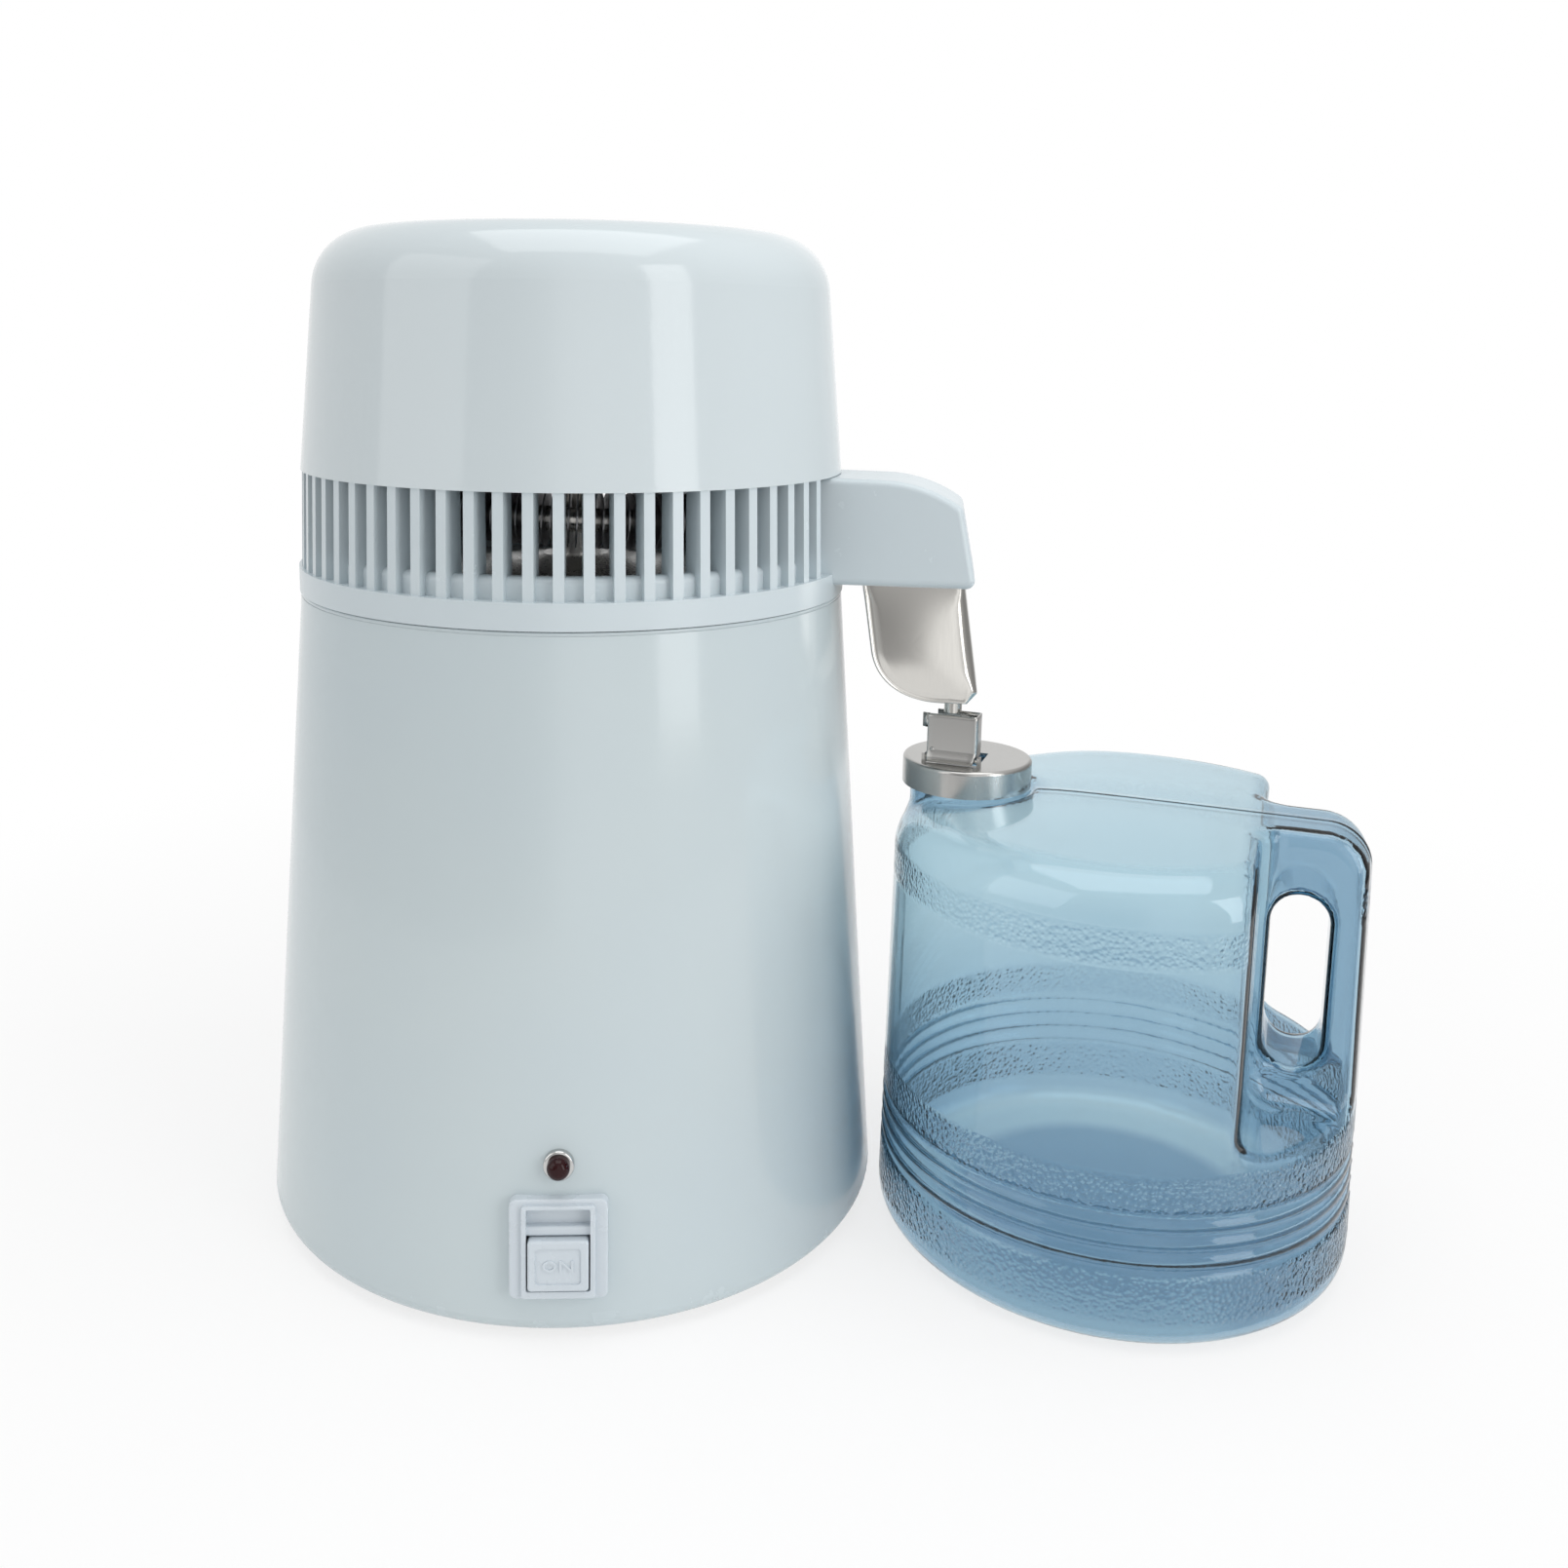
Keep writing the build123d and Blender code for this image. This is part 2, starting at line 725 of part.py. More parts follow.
def panel_socket(plane, core, outer, mouth, depths, rim):
    """A moulded socket set in a tapered wall, with a rim that follows the wall."""
    depth, mouth_depth = depths
    proud = inlet_proud
    flange = round_box(outer[0] + 2 * rim, outer[1] + 2 * rim, -proud, proud, inlet_corner)
    flange = plane.location * flange - core
    body = plane.location * Pos(0, 0, -depth) * Box(outer[0], outer[1], depth, align=on_floor)
    well = round_box(mouth[0], mouth[1], -mouth_depth, proud + overrun, inlet_corner / 2)
    return flange + body - plane.location * well


def power_inlet():
    outer = (inlet_width, inlet_tall)
    mouth = (inlet_mouth_width, inlet_mouth_tall)
    depths = (inlet_depth, inlet_mouth_depth)
    return panel_socket(inlet_plane, casing_core(), outer, mouth, depths, inlet_rim)


def inlet_pins():
    pin = Pos(0, 0, -inlet_mouth_depth) * Box(pin_width, pin_tall, pin_length, align=on_floor)
    spots = ((-pin_spacing, -pin_rise), (0, pin_rise), (pin_spacing, -pin_rise))
    return Compound([inlet_plane.location * Pos(x, y, 0) * pin for x, y in spots])


def fan_outlet():
    outer = (fan_socket_width, fan_socket_tall)
    mouth = (fan_mouth_width, fan_mouth_tall)
    shallow = casing_top_radius - tank_radius - sheet
    depths = (shallow, fan_mouth_depth)
    return panel_socket(fan_outlet_plane, casing_core(), outer, mouth, depths, inlet_proud)


def fan_inlet():
    outer = (fan_socket_width, fan_socket_tall)
    mouth = (fan_mouth_width, fan_mouth_tall)
    depths = (fan_socket_depth, fan_mouth_depth)
    return panel_socket(fan_inlet_plane, cover_core(), outer, mouth, depths, inlet_proud)


def lid_gasket():
    return ring(gasket_radius, gasket_inner_radius, gasket_bottom, lid_bottom)


def steam_lid():
    """A dished plate over the tank with a spigot for the condenser tube."""
    neck_under = lid_neck_height - sheet
    rim = [(lid_cone_radius, lid_bottom), (lid_radius, lid_bottom)]
    rim += [(lid_radius, lid_top), (lid_cone_radius, lid_top)]
    neck = [(lid_neck_radius, lid_neck_height), (tube_radius, lid_neck_height)]
    neck += [(tube_radius, neck_under), (lid_neck_radius, neck_under)]
    shell = turned(rim + neck)
    return shell + ring(lid_spigot_radius, tube_radius, lid_neck_height, lid_spigot_top)


def vent_ring():
    outline = [(band_inner_radius, band_bottom), (band_radius, band_bottom), (band_radius, band_top)]
    outline += [(upstand_outer_radius, band_top), (upstand_outer_radius, upstand_top)]
    outline += [(upstand_inner_radius, upstand_top), (upstand_inner_radius, lid_top)]
    outline.append((band_inner_radius, lid_top))
    foot = turned(outline)
    foot = fillet(foot.edges().group_by(Axis.Z)[-1], upstand_round)
    crown = ring(slat_neck_radius, upstand_inner_radius, vent_top - crown_thickness, vent_top)
    side = [(upstand_inner_radius, band_top), (slat_foot_radius, band_top), (slat_top_radius, cover_bottom)]
    side += [(slat_neck_radius, cover_bottom), (slat_neck_radius, vent_top)]
    side.append((upstand_inner_radius, vent_top))
    face = make_face(Polyline([(r, 0, z) for r, z in side], close=True))
    slat = extrude(face, slat_width / 2, dir=(0, 1, 0), both=True)
    step = 360 / slat_count
    bare = math.degrees(math.asin((arm_width + slat_width) / 2 / arm_root))
    turns = [front_bearing + i * step for i in range(slat_count)]
    kept = [turn for turn in turns if abs((turn - arm_bearing + 180) % 360 - 180) > bare]
    return foot + crown + [Rot(0, 0, turn) * slat for turn in kept]


def cover_core():
    """The full block inside the cover's outer face."""
    side = [(cover_foot_radius, cover_bottom), (cover_top_radius, cover_top)]
    body = turned([(0, cover_bottom)] + side + [(0, cover_top)])
    return fillet(body.edges().group_by(Axis.Z)[-1], cover_round)


def head_cover():
    foot = cover_foot_radius - cover_wall
    top = cover_radius(cover_inner_top) - cover_wall
    low = cover_bottom - overrun
    side = [(foot, low), (foot, cover_bottom), (top, cover_inner_top)]
    inner = turned([(0, low)] + side + [(0, cover_inner_top)])
    inner = fillet(inner.edges().group_by(Axis.Z)[-1], cover_round - cover_wall)
    boss = rod(boss_radius, bracket_top, cover_inner_top + cover_wall / 2)
    pilot = rod(head_screw_radius, bracket_top - overrun, bracket_bottom + head_screw_length)
    slot = block(grille_inner_radius, grille_outer_radius, -grille_slot_width / 2, grille_slot_width / 2,
                 cover_inner_top - overrun, cover_top + overrun)
    slots = [Rot(0, 0, i * 360 / grille_slot_count) * slot for i in range(grille_slot_count)]
    port = Box(fan_socket_width + 2 * panel_fit, fan_socket_tall + 2 * panel_fit, 2 * fan_socket_depth)
    port = fan_inlet_plane.location * port
    shell = cover_core() - inner
    bosses = circle_of(bracket_arm_count, back_bearing, head_screw_circle, boss)
    pilots = circle_of(bracket_arm_count, back_bearing, head_screw_circle, pilot)
    return shell + bosses.solids() - pilots.solids() - slots - port


def biarc(start, start_way, end, end_way):
    """Two arcs in space that leave start along start_way and reach end along end_way."""
    span = end - start
    ways = start_way + end_way
    a = 2 * (1 - start_way.dot(end_way))
    b = 2 * span.dot(ways)
    c = -span.dot(span)
    reach = (-b + math.sqrt(b * b - 4 * a * c)) / (2 * a)
    first = start + start_way * reach
    last = end - end_way * reach
    middle = (first + last) * (1 / 2)
    way = (last - first).normalized()
    return [TangentArc(start, middle, tangent=start_way), TangentArc(middle, end, tangent=way)]


def condenser_path():
    """The tube's centre line: riser, bend, two falling turns, then out along the arm and down."""
    lead = math.degrees(math.asin(bend_radius / (coil_radius + bend_radius)))
    entry = math.degrees(math.asin(bend_radius / (coil_radius - bend_radius)))
    last_bearing = arm_bearing - lead
    radial = last_bearing - entry
    out = polar(1, radial, 0)
    up = Vector(0, 0, 1)
    foot = Vector(0, 0, riser_foot)
    bend = Vector(0, 0, coil_high - bend_radius)
    level = polar(bend_radius, radial, coil_high)
    run = math.sqrt((coil_radius - bend_radius) ** 2 - bend_radius ** 2)
    turn_in = polar(run, radial, coil_high)
    edges = [Line(foot, bend), TangentArc(bend, level, tangent=up), Line(level, turn_in)]
    steps = coil_turn_count * quarter_turn_count
    points = []
    ways = []
    for i in range(steps + 1):
        bearing = last_bearing + 360 * i / quarter_turn_count
        points.append(polar(coil_radius, bearing, coil_high - turn_rise * i / quarter_turn_count))
        fall = 0 if i in (0, steps) else turn_rise / (2 * math.pi * coil_radius)
        ways.append((polar(1, bearing + 90, 0) - up * fall).normalized())
    edges.append(TangentArc(turn_in, points[0], tangent=out))
    for i in range(steps):
        edges += biarc(points[i], ways[i], points[i + 1], ways[i + 1])
    ahead = polar(1, arm_bearing, 0)
    reach = math.sqrt((coil_radius + bend_radius) ** 2 - bend_radius ** 2)
    turn_out = polar(reach, arm_bearing, coil_low)
    drop = polar(outlet_reach - outlet_bend, arm_bearing, coil_low)
    down = polar(outlet_reach, arm_bearing, coil_low - outlet_bend)
    edges += [TangentArc(points[-1], turn_out, tangent=ways[-1]), Line(turn_out, drop)]
    tip = polar(outlet_reach, arm_bearing, outlet_end)
    edges += [TangentArc(drop, down, tangent=ahead), Line(down, tip)]
    return Wire(edges)


def least_gap(path):
    """Least clear gap between stretches of the tube that lie more than a bend apart."""
    length = path.length
    spots = [path.position_at(i / gap_sample_count) for i in range(gap_sample_count + 1)]
    step = length / gap_sample_count
    apart = int(math.pi * bend_radius / step) + 1
    pairs = [(a, b) for i, a in enumerate(spots) for b in spots[i + apart:]]
    return min((a - b).length for a, b in pairs) - 2 * tube_radius


def condenser_coil(path):
    section = Plane(origin=path @ 0, z_dir=path % 0) * (Circle(tube_radius) - Circle(tube_bore))
    return sweep(section, path=path)


def condenser_fins(path):
    """Thin discs strung on the two turns of the condenser tube."""
    arcs = 2 * coil_turn_count * quarter_turn_count
    lead_in = sum(edge.length for edge in path.edges()[:lead_in_edge_count])
    turns = sum(edge.length for edge in path.edges()[lead_in_edge_count:lead_in_edge_count + arcs])
    fins = []
    for i in range(fin_count):
        reach = lead_in + turns * (i + 1) / (fin_count + 1)
        share = reach / path.length
        plane = Plane(origin=path @ share, z_dir=path % share)
        disc = Circle(fin_radius) - Circle(tube_radius + fin_fit)
        fins.append(extrude(plane * disc, fin_thickness / 2, both=True))
    return Compound([solid for fin in fins for solid in fin.solids()])


def coil_nut():
    hexagon = RegularPolygon(nut_across / 2, nut_side_count, major_radius=False)
    body = Pos(0, 0, lid_spigot_top) * extrude(hexagon, nut_height)
    return body - rod(tube_radius, lid_spigot_top - overrun, lid_spigot_top + nut_height + overrun)


def fan_impeller():
    hub = rod(hub_radius, hub_bottom, hub_top)
    hub = fillet(hub.edges().group_by(Axis.Z)[0], hub_round)
    outline = [(blade_root_radius, -blade_chord_root / 2), (blade_tip_radius, -blade_chord_tip / 2)]
    outline += [(blade_tip_radius, blade_chord_tip / 2), (blade_root_radius, blade_chord_root / 2)]
    blade = extrude(make_face(Polyline(outline, close=True)), blade_thickness / 2, both=True)
    tips = blade.edges().filter_by(Axis.Z).sort_by(Axis.X)[-2:]
    blade = fillet(tips, blade_chord_root / 2)
    middle = (hub_bottom + hub_top) / 2
    blades = [Rot(0, 0, i * 360 / blade_count) * Pos(0, 0, middle) * Rot(blade_pitch, 0, 0) * blade
              for i in range(blade_count)]
    return hub + blades - rod(shaft_radius, shaft_bottom, hub_top + overrun)


def fan_shaft():
    return rod(shaft_radius, shaft_bottom, shaft_top)


def fan_motor():
    body = rod(motor_radius, motor_bottom, motor_top)
    body = fillet(body.edges().group_by(Axis.Z)[0], motor_round)
    return body - rod(shaft_radius + running_fit, motor_bottom - overrun, motor_bore_top)


def motor_bracket():
    plate = ring(bracket_ring_radius, bracket_hole_radius, bracket_bottom, bracket_top)
    arm = block(bracket_hole_radius + overrun, bracket_reach, -bracket_arm_width / 2, bracket_arm_width / 2,
                bracket_bottom, bracket_top)
    hole = rod(head_screw_radius + panel_fit, bracket_bottom - overrun, bracket_top + overrun)
    arms = circle_of(bracket_arm_count, back_bearing, 0, arm).solids()
    holes = circle_of(bracket_arm_count, back_bearing, head_screw_circle, hole).solids()
    return plate + arms - holes


def head_screws():
    head = rod(head_screw_head_radius, bracket_bottom - head_screw_head, bracket_bottom)
    shank = rod(head_screw_radius, bracket_bottom, bracket_bottom + head_screw_length)
    return circle_of(bracket_arm_count, back_bearing, head_screw_circle, head + shank)


def arm_side(inset, floor):
    """The arm's side outline, drawn in by an inset, with its floor at a height."""
    top_root = Vector(arm_root, 0, arm_top - inset)
    shoulder = Vector(arm_shoulder_reach, 0, arm_shoulder_top - inset)
    nose = Vector(arm_nose_reach - inset, 0, arm_nose_top - inset)
    end = Vector(arm_end_reach - inset, 0, floor)
    low_root = Vector(arm_root, 0, floor)
    brow = TangentArc(shoulder, nose, tangent=shoulder - top_root)
    back = Line(low_root, top_root)
    face = make_face([Line(top_root, shoulder), brow, Line(nose, end), Line(end, low_root), back])
    corner = face.vertices().sort_by_distance(nose)[:1]
    return fillet(corner, arm_nose_round - inset)


def spout_arm():
    outer = extrude(arm_side(0, arm_bottom), arm_width / 2, dir=(0, 1, 0), both=True)
    above = arm_bottom + sheet
    flanks = outer.edges().filter_by(lambda e: abs(abs(e.center().Y) - arm_width / 2) < panel_fit)
    ahead = arm_root + sheet
    crest = flanks.filter_by(lambda e: e.center().Z > above and e.center().X > ahead)
    outer = fillet(crest, arm_edge_round)
    low_end = outer.edges().filter_by(Axis.Y).filter_by(lambda e: e.center().Z < above)
    outer = fillet(low_end.sort_by(Axis.X)[-1:], arm_end_round)
    under = arm_bottom - overrun
    hollow = extrude(arm_side(arm_wall, under), arm_width / 2 - arm_wall, dir=(0, 1, 0), both=True)
    keep = block(band_radius + arm_wall, arm_end_reach, -arm_width, arm_width, under, arm_top)
    low = band_bottom - overrun
    root = [(0, low), (band_radius, low), (band_radius, band_top), (upstand_outer_radius, band_top)]
    root += [(upstand_outer_radius, upstand_top), (0, upstand_top)]
    channel = Rot(0, 90, 0) * Cylinder(tube_radius + panel_fit, arm_width, align=on_floor)
    channel = Pos(arm_root - overrun, 0, coil_low) * channel
    return arm_place * (outer - hollow.intersect(keep) - channel) - turned(root)


def cup_side(inset):
    """The filter cup's side outline, drawn in by an inset and open past the top when inset."""
    top = cup_top + (overrun if inset else 0)
    left_top = Vector(cup_left + inset, 0, top)
    flank = Vector(cup_flank_reach + inset, 0, cup_flank)
    heel = Vector(cup_heel_reach, 0, cup_bottom + inset)
    toe = Vector(cup_toe_reach - inset, 0, cup_bottom + inset)
    tip = Vector(cup_toe_tip - inset, 0, cup_bottom + cup_toe_rise + inset)
    mouth = Vector(cup_mouth_right - inset, 0, top)
    fall = Vector(cup_flank_run, 0, cup_flank - cup_top).normalized()
    keel = biarc(flank, fall, heel, Vector(1, 0, 0))
    front = [Line(heel, toe), Line(toe, tip), Line(tip, mouth), Line(mouth, left_top)]
    return make_face([Line(left_top, flank)] + keel + front)


def filter_cup():
    outer = extrude(cup_side(0), cup_width / 2, dir=(0, 1, 0), both=True)
    flanks = outer.edges().filter_by(lambda e: abs(abs(e.center().Y) - cup_width / 2) < panel_fit)
    outer = fillet(flanks.filter_by(lambda e: e.center().Z < cup_top - sheet), cup_hem)
    inner = extrude(cup_side(sheet), cup_width / 2 - sheet, dir=(0, 1, 0), both=True)
    inside = cup_width / 2 - sheet
    flanks = inner.edges().filter_by(lambda e: abs(abs(e.center().Y) - inside) < panel_fit)
    inner = fillet(flanks.filter_by(lambda e: e.center().Z < cup_top - sheet), cup_hem - sheet / 2)
    hole = Pos(drip_reach, 0, 0) * rod(drip_radius, drip_end, drip_top + overrun)
    return arm_place * (outer - inner - hole)


def charcoal_sachet():
    """A soft pad of charcoal that fills the cup below its mouth."""
    body = extrude(cup_side(sachet_inset), cup_width / 2 - sachet_inset, dir=(0, 1, 0), both=True)
    above = block(0, cup_toe_tip, -cup_width, cup_width, sachet_top, cup_top + 2 * overrun)
    clear = Pos(drip_reach, 0, 0) * rod(drip_radius + slide_gap, drip_end, drip_top + slide_gap)
    return arm_place * (body - above - clear)


def drip_tube():
    tube = ring(drip_radius, drip_bore, drip_end, drip_top)
    return arm_place * Pos(drip_reach, 0, 0) * tube


def jug_pocket(inset):
    """A cutter for the hollow on one side of the handle."""
    far = 2 * jug_foot_radius
    near = handle_half_width - inset
    pocket = block(pocket_wall - inset, far, near, far, pocket_floor - inset, jug_top + far)
    wall_edges = pocket.edges().group_by(Axis.X)[0].sort_by(Axis.Y)[:-1]
    floor_edges = pocket.edges().filter_by(Axis.X).group_by(Axis.Z)[0]
    return fillet(wall_edges + floor_edges.sort_by(Axis.Y)[:1], pocket_round + inset)


def jug_grip(inset):
    """A cutter for the finger hole through the handle."""
    tall = grip_high - grip_low + 2 * inset
    slot = Rot(0, 0, 90) * SlotOverall(tall, grip_width + 2 * inset)
    slot = Plane.XZ * Pos(grip_middle, (grip_high + grip_low) / 2) * slot
    return extrude(slot, 2 * jug_foot_radius, both=True)


def jug_shape(inset):
    """The jug's body without its neck, drawn in by an inset."""
    tall = jug_top - 2 * inset
    body = Cone(jug_foot_radius - inset, jug_shoulder_radius - inset, tall, align=on_floor)
    body = Pos(0, 0, inset) * body
    body = fillet(body.edges().group_by(Axis.Z)[0], jug_foot_round - inset)
    body = fillet(body.edges().group_by(Axis.Z)[-1], jug_shoulder_round - inset)
    punt = Cone(punt_radius + inset, punt_top_radius + inset, punt_height + inset, align=on_floor)
    wide = 2 * jug_foot_radius
    side = [(-slope_start, 0, jug_top - inset), (-slope_drop_reach, 0, slope_low - inset)]
    side += [(-slope_drop_reach, 0, jug_top + wide), (-slope_start, 0, jug_top + wide)]
    slope = extrude(make_face(Polyline(side, close=True)), wide, dir=(0, 1, 0), both=True)
    seat = Pos(-neck_offset, 0, 0) * rod(seat_radius + inset, seat_level - inset, jug_top + wide)
    pocket = jug_pocket(inset)
    return body - punt - slope - seat - pocket - mirror(pocket, Plane.XZ) - jug_grip(inset)


def jug_grooves():
    """Ring cutters for the grooves round the jug's foot."""
    cutters = []
    for i in range(groove_count):
        z = groove_low + i * groove_pitch
        share = z / jug_top
        wall = jug_foot_radius + (jug_shoulder_radius - jug_foot_radius) * share
        cutters.append(Pos(0, 0, z) * Torus(wall + groove_radius - groove_depth, groove_radius))
    return cutters


def jug_body():
    neck = rod(neck_radius, neck_foot, neck_top)
    levels = [neck_top - drop for drop in bead_drops]
    beads = [ring(bead_radius, neck_bore, z, z + bead_height) for z in levels]
    neck = Pos(-neck_offset, 0, 0) * (neck + beads)
    bore = Pos(-neck_offset, 0, 0) * rod(neck_bore, neck_foot - overrun, neck_top + overrun)
    seam = block(-slope_start + seam_width, pocket_wall - seam_width, -seam_width / 2, seam_width / 2,
                 jug_top - seam_height, jug_top + seam_height)
    body = jug_shape(0) + neck + seam - jug_shape(jug_wall) - bore - jug_grooves()
    return jug_place * body


def jug_cap():
    under = cap_top - cap_plate
    outline = [(0, under), (cap_inner_radius, under), (cap_inner_radius, cap_bottom)]
    outline += [(cap_radius, cap_bottom), (cap_radius, cap_top), (0, cap_top)]
    shell = turned(outline)
    shell = fillet(shell.edges().group_by(Axis.Z)[-1], cap_round)
    swing = math.hypot(guide_depth, guide_top - hinge_level)
    hatch = block(guide_left + guide_back_inset - hatch_gap, guide_right + hatch_gap, guide_front + hatch_gap,
                  guide_front + swing + hatch_gap, cap_bottom, cap_top + overrun)
    lugs = []
    for left in (guide_left - slide_gap - lug_thickness, guide_right + slide_gap):
        lug = block(left, left + lug_thickness, guide_front - lug_half_width, guide_front + lug_half_width,
                    under, hinge_level + lug_half_width)
        lugs.append(lug)
    pin_way = Pos(guide_left - guide_ear - overrun, guide_front, hinge_level) * Rot(0, 90, 0)
    bore = pin_way * Cylinder(hinge_pin_radius, 2 * cap_radius, align=on_floor)
    return cap_place * (shell - hatch + lugs - bore)


def cap_seal():
    under = cap_top - cap_plate
    return cap_place * ring(seal_radius, seal_inner_radius, under - seal_thickness, under)


def guide_pin():
    left = guide_left - slide_gap - lug_thickness
    right = guide_right + slide_gap + lug_thickness
    pin = Rot(0, 90, 0) * Cylinder(hinge_pin_radius, right - left, align=on_floor)
    return cap_place * Pos(left, guide_front, hinge_level) * pin


def drip_guide():
    """A folded strip open on the left, with a rolled knuckle at its foot."""
    foot = hinge_level + hinge_pin_radius + hinge_fit
    front = guide_front - sheet / 2
    back = guide_front + guide_depth
    plate = block(guide_left, guide_right, front, front + sheet, foot, guide_top)
    ear_foot = guide_top - guide_ear_tall
    ear = block(guide_left - guide_ear, guide_left + overrun, front, front + sheet, ear_foot, guide_top)
    side = block(guide_right - sheet, guide_right, front, back, foot, guide_top)
    rear = block(guide_left + guide_back_inset, guide_right, back - sheet, back, foot, guide_top)
    knuckle_way = Pos(guide_left, guide_front, hinge_level) * Rot(0, 90, 0)
    roll = hinge_pin_radius + hinge_fit + hinge_wall
    knuckle = knuckle_way * Cylinder(roll, guide_right - guide_left, align=on_floor)
    bore = Cylinder(hinge_pin_radius + hinge_fit, 2 * cap_radius, align=on_floor)
    bore = knuckle_way * Pos(0, 0, -overrun) * bore
    return cap_place * (plate + ear + side + rear + knuckle - bore)


def build_nodes():
    """Every node of the assembly by name."""
    path = condenser_path()
    print("condenser tube: least gap to itself %.2f mm" % least_gap(path))
    nodes = {"condenser_coil": condenser_coil(path), "condenser_fins": condenser_fins(path)}
    nodes["thermostat"] = heat_switch(thermostat_turn)
    nodes["thermal_cutout"] = heat_switch(cutout_turn)
    base = (outer_casing, base_ring, base_plate, base_screws, rubber_feet, boiling_tank)
    heater = (heater_plate, heating_element, clamp_plate, centre_stud, terminal_block)
    panel = (switch_bezel, on_button, switch_body, lamp_bezel, lamp_lens, lamp_holder)
    sockets = (power_inlet, inlet_pins, fan_outlet, fan_inlet)
    head = (lid_gasket, steam_lid, vent_ring, head_cover, coil_nut)
    fan = (fan_impeller, fan_shaft, fan_motor, motor_bracket, head_screws)
    spout = (spout_arm, filter_cup, charcoal_sachet, drip_tube)
    jug = (jug_body, jug_cap, cap_seal, guide_pin, drip_guide)
    for make in base + heater + panel + sockets + head + fan + spout + jug:
        nodes[make.__name__] = make()
    return nodes


os.makedirs("parts", exist_ok=True)
for name, shape in build_nodes().items():
    export_step(shape, "parts/%s.step" % name)
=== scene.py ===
import json
import math

import bmesh
import bpy
import numpy as np
from mathutils import Matrix, Vector
from mathutils.geometry import interpolate_bezier


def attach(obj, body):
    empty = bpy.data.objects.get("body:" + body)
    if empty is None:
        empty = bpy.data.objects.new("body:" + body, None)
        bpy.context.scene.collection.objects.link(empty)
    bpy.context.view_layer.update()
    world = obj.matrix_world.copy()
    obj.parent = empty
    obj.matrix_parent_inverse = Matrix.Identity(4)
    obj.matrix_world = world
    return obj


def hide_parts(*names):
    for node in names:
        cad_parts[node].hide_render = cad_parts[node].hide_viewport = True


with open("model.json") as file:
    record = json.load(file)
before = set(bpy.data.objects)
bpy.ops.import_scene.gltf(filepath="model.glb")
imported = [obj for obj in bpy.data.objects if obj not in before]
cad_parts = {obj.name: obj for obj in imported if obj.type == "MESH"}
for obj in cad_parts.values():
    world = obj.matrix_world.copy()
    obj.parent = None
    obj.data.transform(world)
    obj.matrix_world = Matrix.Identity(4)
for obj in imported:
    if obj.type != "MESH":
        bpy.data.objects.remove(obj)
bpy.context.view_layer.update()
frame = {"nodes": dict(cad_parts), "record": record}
scene = bpy.context.scene
scene.view_settings.view_transform = "Standard"

MM = 0.001
JOINTS = {joint["name"]: joint for joint in frame["record"]["behaviour"]["joints"]}


# Camera, at the photograph's viewing angle: millimetres and degrees

CAMERA_PLACE = (30.01, -551.09, 319.84)
CAMERA_YAW = 2.511
CAMERA_PITCH = 9.368
CAMERA_ROLL = -0.721
CAMERA_LENS = 34.28
SENSOR_WIDE = 36.0
FRAME_SHIFT = (0.0401, -0.1271)
NEAREST_SEEN = 0.02


def place_camera():
    """A camera that looks slightly down on the switch side, with the frame moved to the photograph's."""
    yaw, pitch, roll = (math.radians(turn) for turn in (CAMERA_YAW, CAMERA_PITCH, CAMERA_ROLL))
    ahead = Vector((math.sin(yaw) * math.cos(pitch), math.cos(yaw) * math.cos(pitch), -math.sin(pitch)))
    level = Vector((math.cos(yaw), -math.sin(yaw), 0))
    under = ahead.cross(level)
    right = math.cos(roll) * level + math.sin(roll) * under
    down = -math.sin(roll) * level + math.cos(roll) * under
    data = bpy.data.cameras.new("camera")
    data.lens = CAMERA_LENS
    data.sensor_width = SENSOR_WIDE
    data.shift_x, data.shift_y = FRAME_SHIFT
    data.clip_start = NEAREST_SEEN
    camera = bpy.data.objects.new("camera", data)
    turn = Matrix((right, -down, -ahead)).transposed().to_4x4()
    camera.matrix_world = Matrix.Translation(Vector(CAMERA_PLACE) * MM) @ turn
    scene.collection.objects.link(camera)
    scene.camera = camera


# Shared surface effects, as shader node groups

CLOUD_SPAN = (0.35, 0.65)
HAZE_SCALE = 60.0
HAZE_SPAN = (0.3, 0.75)
BROAD_SCALE = 45.0
DULL_SPAN = (0.35, 0.65)
SKIN_OUTPUTS = (("Colour", "Color"), ("Roughness", "Float"), ("Normal", "Vector"))


def new_group(name, inputs):
    """An empty shader node group with named sockets and its two end nodes."""
    group = bpy.data.node_groups.new(name, "ShaderNodeTree")
    for label, kind, value in inputs:
        socket = group.interface.new_socket(label, in_out="INPUT", socket_type="NodeSocket" + kind)
        socket.default_value = value
    for label, kind in SKIN_OUTPUTS:
        group.interface.new_socket(label, in_out="OUTPUT", socket_type="NodeSocket" + kind)
    return group, group.nodes.new("NodeGroupInput"), group.nodes.new("NodeGroupOutput")


def add(tree, kind, **settings):
    """A node with its own settings."""
    node = tree.nodes.new("ShaderNode" + kind)
    for key, value in settings.items():
        setattr(node, key, value)
    return node


def feed(tree, node, values):
    """A node's inputs by label or number, each from another socket or from a value of its own."""
    for label, value in values.items():
        if isinstance(value, bpy.types.NodeSocket):
            tree.links.new(value, node.inputs[label])
        else:
            node.inputs[label].default_value = value


def noise(tree, place, scale, detail, rough=0.5):
    """A noise texture at a place."""
    node = add(tree, "TexNoise")
    feed(tree, node, {"Vector": place, "Scale": scale, "Detail": detail, "Roughness": rough})
    return node.outputs["Fac"]


